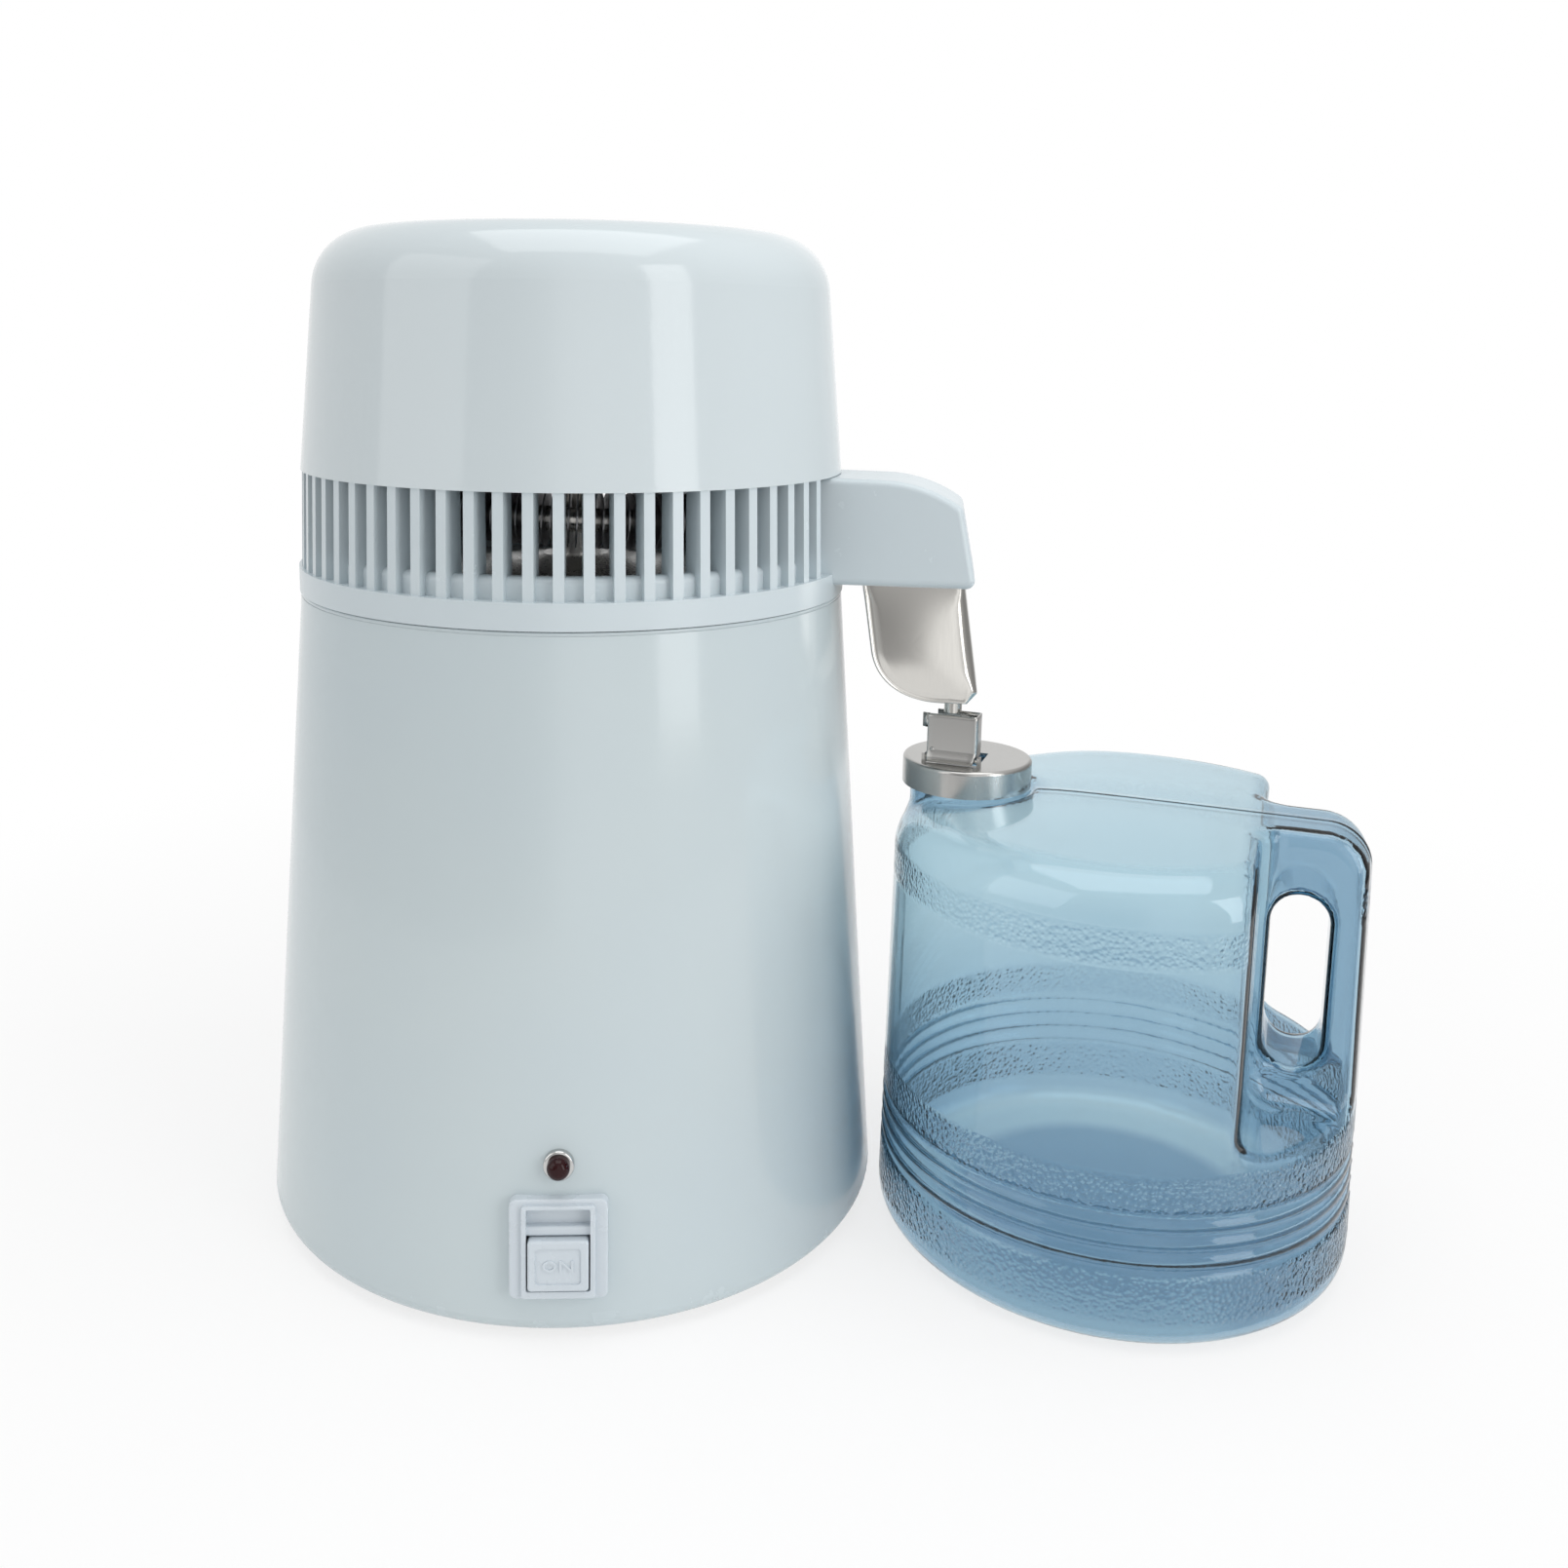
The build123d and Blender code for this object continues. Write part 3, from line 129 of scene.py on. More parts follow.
def spread(tree, value, low, high, to_low, to_high, **settings):
    """A value moved from one range to another."""
    node = add(tree, "MapRange", **settings)
    feed(tree, node, {"Value": value, "From Min": low, "From Max": high, "To Min": to_low, "To Max": to_high})
    return node.outputs["Result"]


def mix_colour(tree, share, first, second):
    """Two colours mixed by a mask."""
    node = add(tree, "Mix", data_type="RGBA")
    feed(tree, node, {0: share, 6: first, 7: second})
    return node.outputs[2]


def sum_of(tree, kind, first, second):
    """Two values put together by one operation."""
    node = add(tree, "Math", operation=kind)
    feed(tree, node, {0: first, 1: second})
    return node.outputs[0]


def measured(tree, kind, *places):
    """A length, distance or dot product of places."""
    node = add(tree, "VectorMath", operation=kind)
    feed(tree, node, dict(enumerate(places)))
    return node.outputs["Value"]


def bumped(tree, height, depth, **under):
    """A normal raised by a height, with the depth in metres, and any normal under it."""
    node = add(tree, "Bump")
    feed(tree, node, {"Strength": 1.0, "Height": height, "Distance": depth, **under})
    return node.outputs["Normal"]


def moulded_skin():
    """Glossy moulded or painted skin: faint cloudy tint, soft waviness and small changes of gloss."""
    inputs = [("Colour", "Color", (0.6, 0.66, 0.68, 1)), ("Shade", "Color", (0.56, 0.62, 0.65, 1)),
              ("Cloud Scale", "Float", 9.0), ("Skin Scale", "Float", 420.0), ("Skin Depth", "Float", 0.00002),
              ("Gloss", "Float", 0.12), ("Dull", "Float", 0.22)]
    group, start, end = new_group("moulded_skin", inputs)
    place = add(group, "TexCoord").outputs["Object"]
    cloud = noise(group, place, start.outputs["Cloud Scale"], 3.0)
    share = spread(group, cloud, *CLOUD_SPAN, 0.0, 1.0)
    colour = mix_colour(group, share, start.outputs["Colour"], start.outputs["Shade"])
    haze = noise(group, place, HAZE_SCALE, 5.0, 0.6)
    rough = spread(group, haze, *HAZE_SPAN, start.outputs["Gloss"], start.outputs["Dull"])
    skin = noise(group, place, start.outputs["Skin Scale"], 2.0)
    normal = bumped(group, skin, start.outputs["Skin Depth"])
    feed(group, end, {"Colour": colour, "Roughness": rough, "Normal": normal})
    return group


def drawn_metal():
    """Drawn or brushed metal: fine lines along one way, with lighter and duller streaks."""
    inputs = [("Colour", "Color", (0.7, 0.68, 0.65, 1)), ("Streak", "Color", (0.6, 0.58, 0.55, 1)),
              ("Stretch", "Vector", (1.0, 1.0, 0.05)), ("Line Scale", "Float", 900.0),
              ("Line Depth", "Float", 0.00001), ("Gloss", "Float", 0.15), ("Dull", "Float", 0.32)]
    group, start, end = new_group("drawn_metal", inputs)
    place = add(group, "TexCoord").outputs["Object"]
    stretch = add(group, "VectorMath", operation="MULTIPLY")
    feed(group, stretch, {0: place, 1: start.outputs["Stretch"]})
    lines = noise(group, stretch.outputs[0], start.outputs["Line Scale"], 3.0)
    broad = noise(group, place, BROAD_SCALE, 4.0)
    colour = mix_colour(group, lines, start.outputs["Colour"], start.outputs["Streak"])
    dull = sum_of(group, "MULTIPLY", sum_of(group, "ADD", lines, broad), 0.5)
    rough = spread(group, dull, *DULL_SPAN, start.outputs["Gloss"], start.outputs["Dull"])
    normal = bumped(group, lines, start.outputs["Line Depth"])
    feed(group, end, {"Colour": colour, "Roughness": rough, "Normal": normal})
    return group


GROUPS = {"moulded_skin": moulded_skin(), "drawn_metal": drawn_metal()}


# Jug sizes in millimetres, in the jug's own axes: u towards its handle, n across it

JUG_TALL = 160.0
JUG_FOOT_RADIUS = 84.0
JUG_TAPER = 2.6
JUG_WALL = 2.0
FOOT_ROUND = 10.0
SHOULDER_ROUND = 14.5
TOP_CROWN = 3.0
SLOPE_START = 26.0
SLOPE_SHARE = 9.0 / 74.0
SLOPE_SOFT = 12.0
PUNT_RADIUS = 62.0
PUNT_TALL = 7.0
NECK_OFFSET = 58.0
NECK_RADIUS = 20.6
NECK_BORE = 18.3
NECK_TOP = 166.6
NECK_FOOT = 147.0
NECK_ROOT_ROUND = 2.5
BEAD_PROUD = 1.4
BEAD_HALF = 0.9
BEAD_LEVELS = (160.2, 163.6)
SEAT_RADIUS = 25.0
SEAT_LEVEL = 156.6
SEAT_ROUND = 2.0
POCKET_WALL = 47.0
POCKET_FLOOR = 64.0
POCKET_ROUND = 9.0
POCKET_RIM = 4.5
HANDLE_HALF = 16.5
GRIP_MIDDLE = 60.5
GRIP_LEVEL = 106.0
GRIP_HALF = 9.5
GRIP_STRAIGHT = 21.5
GRIP_RIM = 3.5
GROOVE_LOW = 28.7
GROOVE_PITCH = 6.1
GROOVE_COUNT = 4
GROOVE_RADIUS = 1.7
GROOVE_DEPTH = 1.0
GROOVE_RIM = 0.8
RIDGE_HALF = 1.6
RIDGE_PROUD = 0.3
PEBBLED_RINGS = ((11.0, 26.5, 1.0), (47.5, 61.0, 1.0), (130.0, 141.0, 0.45))
PEBBLED_EDGE = 1.2
PEBBLE_SCALE = 640.0
PEBBLE_SOFT = 0.35
PEBBLE_DEEP = 0.0007
# Painted shade on the pebbled rings: darker over each ring, most in the hollows between the pebbles
PEBBLE_SHADE_SPAN = (0.2, 0.6)
PEBBLE_SHADE_SHARES = (0.12, 0.6)
FROST = 0.12
# Painted shade in the jug's tint: a darker foot (partly thicker plastic), darker towards the handle, painted
# shadow of the cap round the neck, and a painted lighter ring round the raised floor
FOOT_DARK_LEVELS = (97.0, 38.0)
FLOOR_LEVELS = (13.0, 9.0)
FLOOR_RING = (53.0, 61.0)
FLOOR_RING_END = (83.0, 78.0)
HANDLE_STRETCH = (40.0, 52.0)
HANDLE_DARK_SHARE = 0.7
NECK_SHADOW_STRETCH = (32.0, 24.0)
NECK_SHADOW_SHARE = 0.9
JUG_SKIN = {"Colour": (0.80, 0.885, 0.915, 1), "Shade": (0.78, 0.875, 0.91, 1), "Gloss": 0.02, "Dull": 0.05,
            "Skin Scale": 45.0, "Skin Depth": 0.00004}
# Darker blue for the painted shade and shadow in the jug, which at the foot also stands for thicker plastic
JUG_THICK_AND_SHADE = (0.455, 0.59, 0.70, 1)
# Darker blue painted as shade into the pebbled rings
JUG_PEBBLE_SHADE = (0.27, 0.41, 0.54, 1)
JUG_BODY_TINT = (0.06, 0.48, 0.65, 1)
JUG_BODY_DENSITY = 84.0
JUG_BENDING = 1.45

NECK_MIDDLE = Vector(JOINTS["jug_cap_turn"]["pos_m"])
JUG_WAY = Vector(JOINTS["jug_slide"]["axis"])
JUG_MIDDLE = NECK_MIDDLE + JUG_WAY * NECK_OFFSET * MM
JUG_FOOT = Vector((JUG_MIDDLE.x, JUG_MIDDLE.y, 0))


# Filter cup sizes in millimetres, in the spout's own axes: u away from the casing, n across

SPOUT_BEARING = -11.0
SPOUT_WAY = Vector((math.cos(math.radians(SPOUT_BEARING)), math.sin(math.radians(SPOUT_BEARING)), 0))
CUP_TOP = 239.0
CUP_BOTTOM = 194.0
CUP_HALF_WIDE = 17.4
CUP_LEFT = 107.0
CUP_FLANK = (111.0, 212.3)
CUP_BEND = ((112.9, 200.0), (123.5, 194.0))
CUP_HEEL = 136.0
CUP_TOE = 145.0
CUP_TIP = (148.6, 197.6)
CUP_MOUTH = 142.4
CUP_SHEET = 0.8
CUP_CROWN = 1.8
CROWN_MIDDLE = (125.0, 214.5)
CROWN_HALF = (20.0, 20.5)
CUP_FLARE = 5.0
FLARE_FOOT = 205.0
HEM_BEND = 0.5
HEM_RISE = 0.3
HEM_RISE_AT = 0.5
HEM_RISE_HALF = 0.35
HEM_SINK = 0.4
HEM_SINK_AT = 1.9
HEM_SINK_HALF = 1.1
RIGHT_BEND = 4.5
RIM_INSETS = (0.0, 0.12, 0.3, 0.5, 0.75, 1.05, 1.4, 1.9, 2.6, 3.5, 4.6)
RIM_SHARES = (0.85, 0.7, 0.55, 0.4, 0.27, 0.14)
SACHET_INSET = 3.2
SACHET_TOP = 228.0
SACHET_ROUND = 7.0
SACHET_CREASE = 0.35


# Drip guide sizes in millimetres, in the cap's own axes

GUIDE_LEFT = -12.1
GUIDE_RIGHT = 6.3
GUIDE_FRONT = -14.4
GUIDE_BACK = -5.8
GUIDE_TOP = 186.6
GUIDE_FOOT = 171.2
GUIDE_BEND = 1.3
GUIDE_SHEET = 0.7
GUIDE_INSET = 2.0
RETURN_BEND = 0.6
RETURN_DEEP = 1.1
FLAP_CREASE = 172.9
FLAP_FOOT = 169.0
FLAP_OUT = 1.5
EAR_WIDE = 1.9
EAR_TALL = 5.2
STUD_PLACE = (-10.0, 173.3)
STUD_RADIUS = 0.85
STUD_STEPS = ((1.0, -0.1), (1.0, 0.1), (0.8, 0.3), (0.4, 0.42))
HINGE_LEVEL = 170.4
HINGE_LINE = -14.0
KNUCKLE_RADIUS = 1.23
CAP_FOOT = Vector((NECK_MIDDLE.x, NECK_MIDDLE.y, 0))


# Condenser sizes in millimetres

RISER_FOOT = 243.0
COIL_HIGH = 295.0
COIL_LOW = 257.0
COIL_TURNS = 2
COIL_RADIUS = 60.0
COIL_BEND = 18.0
COIL_TUBE = 4.0
OUTLET_REACH = 130.0
OUTLET_BEND = 12.0
OUTLET_END = 240.0
FIN_COUNT = 300
FIN_RADIUS = 9.4
FIN_BORE = 4.05
FIN_SHEET = 0.5


# Switch letters in millimetres, on the push button's panel

SWITCH_MIDDLE = Vector((0.0, -112.797, 33.4))
SWITCH_FACE = Vector((0.0, -0.99736, 0.07258))
PANEL_PROUD = 5.1
PANEL_LOW = -4.45
LETTER_TALL = 3.7
LETTER_WIDE = 4.5
LETTER_GAP = 0.9
LETTER_STROKE = 0.8
LETTER_SLANT = 1.25
LETTER_PROUD = 0.4


# The casing's folded top edge in millimetres: (radius, height)

SEAM_OUTLINE = ((98.55, 228.5), (98.55, 229.45), (98.35, 229.75), (97.9, 229.75), (97.9, 228.5))


# Finishes

def new_material(name):
    """A material with its node tree and its shader."""
    material = bpy.data.materials.new(name)
    material.use_nodes = True
    return material, material.node_tree, material.node_tree.nodes["Principled BSDF"]


def effect_of(tree, group, values):
    """One shared effect with its own values; a low line in a label stands for a space."""
    effect = add(tree, "Group", node_tree=GROUPS[group])
    feed(tree, effect, {label.replace("_", " "): value for label, value in values.items()})
    return effect.outputs


def finish_of(name, group, values, **shader):
    """A material whose colour, roughness and normal come from one shared effect."""
    material, tree, principled = new_material(name)
    effect = effect_of(tree, group, values)
    feed(tree, principled, {"Base Color": effect["Colour"], "Roughness": effect["Roughness"],
                            "Normal": effect["Normal"], **shader})
    return material


def plastic(name, colour, shade, gloss, dull, ior=1.5, **more):
    values = {"Colour": colour + (1,), "Shade": shade + (1,), "Gloss": gloss, "Dull": dull, **more}
    return finish_of(name, "moulded_skin", values, IOR=ior)


def steel(name, colour, streak, gloss, dull, stretch=(1, 1, 0.05), **more):
    values = {"Colour": colour + (1,), "Streak": streak + (1,), "Gloss": gloss, "Dull": dull, **more}
    return finish_of(name, "drawn_metal", {"Stretch": stretch, **values}, Metallic=1.0)


def band_mask(tree, level, low, high, edge):
    """One on the surface between two heights, fading out over an edge."""
    rise = spread(tree, level, low - edge, low + edge, 0.0, 1.0)
    fall = spread(tree, level, high - edge, high + edge, 1.0, 0.0)
    return sum_of(tree, "MULTIPLY", rise, fall)


def reach_of(tree, parts):
    """How far a place is from the jug's upright middle line."""
    flat = add(tree, "CombineXYZ")
    feed(tree, flat, {"X": sum_of(tree, "SUBTRACT", parts.outputs["X"], JUG_MIDDLE.x),
                      "Y": sum_of(tree, "SUBTRACT", parts.outputs["Y"], JUG_MIDDLE.y)})
    return measured(tree, "LENGTH", flat.outputs[0])


def pebbled_bands(tree, parts, reach):
    """A mask of the jug's pebbled rings, on the outside of its round wall only."""
    level = parts.outputs["Z"]
    upright = sum_of(tree, "ADD", reach, sum_of(tree, "MULTIPLY", level, JUG_TAPER / JUG_TALL))
    skin = (JUG_FOOT_RADIUS - JUG_WALL / 2) * MM
    outside = spread(tree, upright, skin - JUG_WALL * MM / 4, skin + JUG_WALL * MM / 4, 0.0, 1.0)
    rings = 0.0
    for low, high, share in PEBBLED_RINGS:
        ring = band_mask(tree, level, low * MM, high * MM, PEBBLED_EDGE * MM)
        rings = sum_of(tree, "ADD", sum_of(tree, "MULTIPLY", ring, share), rings)
    return sum_of(tree, "MULTIPLY", rings, outside)


def spread_mm(tree, value, stretch, most):
    """A mask that grows from nothing over a stretch given in millimetres."""
    return spread(tree, value, stretch[0] * MM, stretch[1] * MM, 0.0, most)


def thickness_and_shade_tint(tree, place, parts, reach):
    """A mask of the jug's darker stretches: its foot, partly thicker plastic and partly painted shade;
    towards the handle; painted shadow of the cap round the neck; with a painted lighter ring round its raised
    floor.
    """
    # painted lighter ring round the raised floor, kept out of the painted shade
    floor = spread_mm(tree, parts.outputs["Z"], FLOOR_LEVELS, 1.0)
    ring = sum_of(tree, "MULTIPLY", floor, spread_mm(tree, reach, FLOOR_RING, 1.0))
    ring = sum_of(tree, "MULTIPLY", ring, spread_mm(tree, reach, FLOOR_RING_END, 1.0))
    # darker foot: partly thicker plastic, partly painted shade
    low = spread_mm(tree, parts.outputs["Z"], FOOT_DARK_LEVELS, 1.0)
    low = sum_of(tree, "MULTIPLY", low, sum_of(tree, "SUBTRACT", 1.0, ring))
    along = measured(tree, "DOT_PRODUCT", place, JUG_WAY)
    past = sum_of(tree, "SUBTRACT", along, JUG_MIDDLE.dot(JUG_WAY))
    handle = spread_mm(tree, past, HANDLE_STRETCH, HANDLE_DARK_SHARE)
    # painted shadow of the cap round the neck
    away = measured(tree, "DISTANCE", place, (NECK_MIDDLE.x, NECK_MIDDLE.y, SEAT_LEVEL * MM))
    neck = spread_mm(tree, away, NECK_SHADOW_STRETCH, NECK_SHADOW_SHARE)
    return sum_of(tree, "MAXIMUM", sum_of(tree, "MAXIMUM", low, handle), neck)


def jug_plastic():
    """Clear blue jug wall with pebbled rings, painted shade over the rings that is deepest in the pebbles'
    hollows, a darker tint that is partly thicker plastic and partly painted shade, and a blue tint through
    its body.
    """
    material, tree, principled = new_material("jug_clear_blue")
    effect = effect_of(tree, "moulded_skin", JUG_SKIN)
    place = add(tree, "TexCoord").outputs["Object"]
    parts = add(tree, "SeparateXYZ")
    feed(tree, parts, {0: place})
    reach = reach_of(tree, parts)
    mask = pebbled_bands(tree, parts, reach)
    pebbles = add(tree, "TexVoronoi", feature="SMOOTH_F1")
    feed(tree, pebbles, {"Vector": place, "Scale": PEBBLE_SCALE, "Smoothness": PEBBLE_SOFT})
    raised = sum_of(tree, "MULTIPLY", sum_of(tree, "SUBTRACT", 1.0, pebbles.outputs["Distance"]), mask)
    # darker tint: partly thicker plastic, partly painted shade and shadow
    tint = mix_colour(tree, thickness_and_shade_tint(tree, place, parts, reach), effect["Colour"], JUG_THICK_AND_SHADE)
    # painted shade over the pebbled rings, deepest in the hollows between pebbles
    hollows = spread(tree, pebbles.outputs["Distance"], *PEBBLE_SHADE_SPAN, *PEBBLE_SHADE_SHARES)
    tint = mix_colour(tree, sum_of(tree, "MULTIPLY", hollows, mask), tint, JUG_PEBBLE_SHADE)
    normal = bumped(tree, raised, PEBBLE_DEEP, Normal=effect["Normal"])
    frost = sum_of(tree, "ADD", effect["Roughness"], sum_of(tree, "MULTIPLY", mask, FROST))
    feed(tree, principled, {"Base Color": tint, "Roughness": frost, "Normal": normal, "IOR": JUG_BENDING,
                            "Transmission Weight": 1.0})
    absorb = add(tree, "VolumeAbsorption")
    feed(tree, absorb, {"Color": JUG_BODY_TINT, "Density": JUG_BODY_DENSITY})
    feed(tree, tree.nodes["Material Output"], {"Volume": absorb.outputs[0]})
    return material


WHITE = ((0.558, 0.630, 0.650), (0.540, 0.615, 0.645))


def make_finishes():
    """Every finish of the distiller, by the record's material slot."""
    upright = (1, 1, 0.04)
    return {
        "casing_paint": plastic("casing_white_paint", *WHITE, 0.10, 0.17, Skin_Scale=300.0),
        "foot_plastic": plastic("foot_white_plastic", *WHITE, 0.2, 0.3),
        "head_plastic": plastic("head_white_plastic", (0.61, 0.675, 0.70), (0.60, 0.665, 0.69), 0.08, 0.13),
        "vent_plastic": plastic("vent_white_plastic", (0.60, 0.672, 0.705), (0.592, 0.665, 0.70), 0.24, 0.28),
        "switch_plastic": plastic("switch_white_plastic", (0.60, 0.655, 0.70), (0.58, 0.64, 0.69),
                                  0.22, 0.32),
        "black_plastic": plastic("black_plastic", (0.018, 0.018, 0.02), (0.026, 0.026, 0.028), 0.4, 0.55),
        "cream_plastic": plastic("cream_plastic", (0.60, 0.56, 0.45), (0.55, 0.51, 0.41), 0.35, 0.5),
        "fan_plastic": plastic("fan_dark_plastic", (0.03, 0.03, 0.034), (0.045, 0.045, 0.05), 0.35, 0.5),
        "foot_rubber": plastic("foot_rubber", (0.02, 0.02, 0.021), (0.03, 0.03, 0.03), 0.6, 0.8),
        "silicone": plastic("seal_silicone", (0.62, 0.62, 0.58), (0.56, 0.56, 0.53), 0.45, 0.6),
        "lamp_red": plastic("lamp_red_lens", (0.030, 0.003, 0.004), (0.018, 0.002, 0.003), 0.05, 0.12,
                            ior=1.33),
        "sachet_fabric": plastic("sachet_cloth", (0.55, 0.54, 0.50), (0.46, 0.45, 0.42), 0.8, 0.95),
        "base_steel": steel("base_steel", (0.42, 0.42, 0.42), (0.34, 0.34, 0.34), 0.3, 0.45, (1, 0.05, 1)),
        "zinc_screw": steel("zinc_screw", (0.55, 0.54, 0.50), (0.45, 0.44, 0.41), 0.25, 0.4),
        "tank_steel": steel("tank_steel", (0.62, 0.615, 0.60), (0.55, 0.545, 0.53), 0.22, 0.36, (1, 1, 0.03)),
        "element_steel": steel("element_dark_steel", (0.20, 0.18, 0.16), (0.13, 0.12, 0.11), 0.4, 0.6),
        "coil_steel": steel("coil_steel", (0.58, 0.57, 0.54), (0.48, 0.47, 0.45), 0.2, 0.35),
        "motor_steel": steel("motor_steel", (0.42, 0.42, 0.43), (0.33, 0.33, 0.34), 0.3, 0.45),
        "cup_steel": steel("cup_polished_steel", (0.67, 0.655, 0.62), (0.63, 0.615, 0.585), 0.14, 0.2,
                           upright, Line_Scale=3000.0, Line_Depth=0.000002),
        "cap_steel": steel("cap_brushed_steel", (0.52, 0.515, 0.50), (0.475, 0.47, 0.455), 0.2, 0.28, upright,
                           Line_Scale=3000.0, Line_Depth=0.000003),
        "lamp_chrome": steel("lamp_chrome", (0.58, 0.58, 0.575), (0.54, 0.54, 0.53), 0.08, 0.14),
        "cast_aluminium": steel("cast_aluminium", (0.58, 0.58, 0.58), (0.50, 0.50, 0.50), 0.4, 0.55,
                                (1, 1, 1)),
        "fin_aluminium": steel("fin_aluminium", (0.42, 0.42, 0.43), (0.32, 0.32, 0.33), 0.3, 0.5, (1, 1, 1)),
        "pin_brass": steel("pin_brass", (0.62, 0.45, 0.19), (0.52, 0.37, 0.15), 0.25, 0.4),
        "jug_plastic": jug_plastic(),
    }


FINISHES = make_finishes()


def dress_nodes():
    """The finish of each node that comes from the solids."""
    for entry in frame["record"]["subparts"]:
        node = frame["nodes"][entry["node"]]
        node.data.materials.clear()
        node.data.materials.append(FINISHES[entry["material_slot"]])


# Floor and light levels: places and sizes in metres, bearings in degrees

FLOOR_PLACE = (0.09, 0.0, -0.0002)
FLOOR_RADIUS = 0.65
FLOOR_COLOUR = (0.9, 0.9, 0.9, 1)
SHADOW_NEAR = 0.25
SHADOW_KEPT = 0.25
ROOM_LIGHT = 0.5
ROOM_SHARE = 1.2
CEILING_GLOSS = 0.75
CEILING_SPAN = (0.25, 0.8)
ROOM_BACK = 0.83
ROOM_GLOSS = ((-120, 0.75), (-90, 0.67), (-34, 0.37), (-26, 0.29), (-18, 0.33), (-10, 0.45),
              (-2, 0.95), (8, 1.0), (25, 0.7), (60, 0.37), (90, 0.25), (130, 0.29), (165, 0.83))
LAMPS = (("right_strip", (1.30, -1.38, 0.75), (0.0, 0.0, 0.25), 0.62, 1.7, 9.0, True),
         ("left_window", (-1.75, -0.95, 1.0), (0.0, 0.0, 0.2), 1.6, 1.8, 9.0, True),
         ("right_fill", (1.9, -0.5, 0.8), (0.1, 0.0, 0.2), 1.4, 1.6, 13.0, False),
         ("top_fill", (0.1, -0.2, 2.2), (0.1, 0.0, 0.2), 1.8, 1.8, 18.0, True))


# Pieces made as meshes: grid steps in millimetres and how finely each is drawn

SETTLE_REACH = 0.02
SETTLE_ROUNDS = 3
LEAST_SLOPE = 0.2
LONGEST_MOVE = 1.0
JUG_GRID = (-4.0, 25.0, 50.0, 156.0, NECK_TOP + 3.0)
JUG_STEP = 1.9
RIDGE_REACH = 3.0
RIDGE_STEP = 0.6
FOOT_STEP = 1.8
GROOVE_STEP = 0.75
NECK_STEP = 0.9
SACHET_STEP = 1.1
FLANK_ROWS = 10
KNUCKLE_SIDES = 20
STUD_SIDES = 16
TUBE_SIDES = 16
FIN_SIDES = 28
LETTER_SIDES = 40
SEAM_SIDES = 180


def make_piece(name, points, faces, body, slot, *nodes):
    """A smooth mesh piece, in metres, that rides on a body and may stand for nodes."""
    mesh = bpy.data.meshes.new(name)
    mesh.from_pydata(points, [], faces)
    mesh.update()
    mesh.shade_smooth()
    mesh.materials.append(FINISHES[slot])
    piece = bpy.data.objects.new(name, mesh)
    scene.collection.objects.link(piece)
    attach(piece, body)
    if nodes:
        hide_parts(*nodes)
    return piece


def steps(*stretches):
    """Grid places from stretches of (start, end, step)."""
    places = []
    for start, end, step in stretches:
        count = max(1, round((end - start) / step))
        places += [start + (end - start) * i / count for i in range(count)]
    return np.array(places + [stretches[-1][1]])


def skin_of(field, spans):
    """Points and quads of the surface where a field of distances changes sign on a grid."""
    value = field(*np.meshgrid(*spans, indexing="ij"))
    inside = value < 0
    cells = tuple(count - 1 for count in value.shape)
    total = np.zeros(cells + (3,))
    hits = np.zeros(cells)
    loops = []
    for axis in range(3):
        low = [slice(None)] * 3
        high = [slice(None)] * 3
        low[axis], high[axis] = slice(None, -1), slice(1, None)
        low, high = tuple(low), tuple(high)
        first, second = (axis + 1) % 3, (axis + 2) % 3
        edge = np.argwhere(inside[low] != inside[high])
        kept = np.all([(edge[:, k] > 0) & (edge[:, k] < cells[k]) for k in (first, second)], axis=0)
        edge = edge[kept]
        spot = tuple(edge.T)
        start, end = value[low][spot], value[high][spot]
        point = np.stack([spans[k][edge[:, k]] for k in range(3)], axis=1)
        stride = spans[axis][edge[:, axis] + 1] - spans[axis][edge[:, axis]]
        point[:, axis] += stride * start / (start - end)
        ring = []
        for back, left in ((0, 0), (1, 0), (1, 1), (0, 1)):
            cell = edge.copy()
            cell[:, first] -= back
            cell[:, second] -= left
            np.add.at(total, tuple(cell.T), point)
            np.add.at(hits, tuple(cell.T), 1)
            ring.append(np.ravel_multi_index(tuple(cell.T), cells))
        ring = np.stack(ring, axis=1)
        outward = inside[low][spot]
        ring[outward] = ring[outward][:, ::-1]
        loops.append(ring[:, ::-1])
    used = np.flatnonzero(hits.ravel())
    number = np.full(hits.size, -1)
    number[used] = np.arange(len(used))
    points = total.reshape(-1, 3)[used] / hits.ravel()[used][:, None]
    return settle(field, points), number[np.concatenate(loops)]


def settle(field, points):
    """The points moved onto the surface along the field's slope."""
    for _ in range(SETTLE_ROUNDS):
        slope = np.empty_like(points)
        for axis in range(3):
            ahead, behind = points.copy(), points.copy()
            ahead[:, axis] += SETTLE_REACH
            behind[:, axis] -= SETTLE_REACH
            slope[:, axis] = (field(*ahead.T) - field(*behind.T)) / (2 * SETTLE_REACH)
        steep = np.maximum((slope ** 2).sum(axis=1), LEAST_SLOPE)
        move = slope * (field(*points.T) / steep)[:, None]
        points = points - np.clip(move, -LONGEST_MOVE, LONGEST_MOVE)
    return points


def round_meet(first, second, radius):
    """What two fields share, with a rounded edge where they meet."""
    edge = np.hypot(np.maximum(first + radius, 0), np.maximum(second + radius, 0))
    return np.minimum(np.maximum(first, second), -radius) + edge


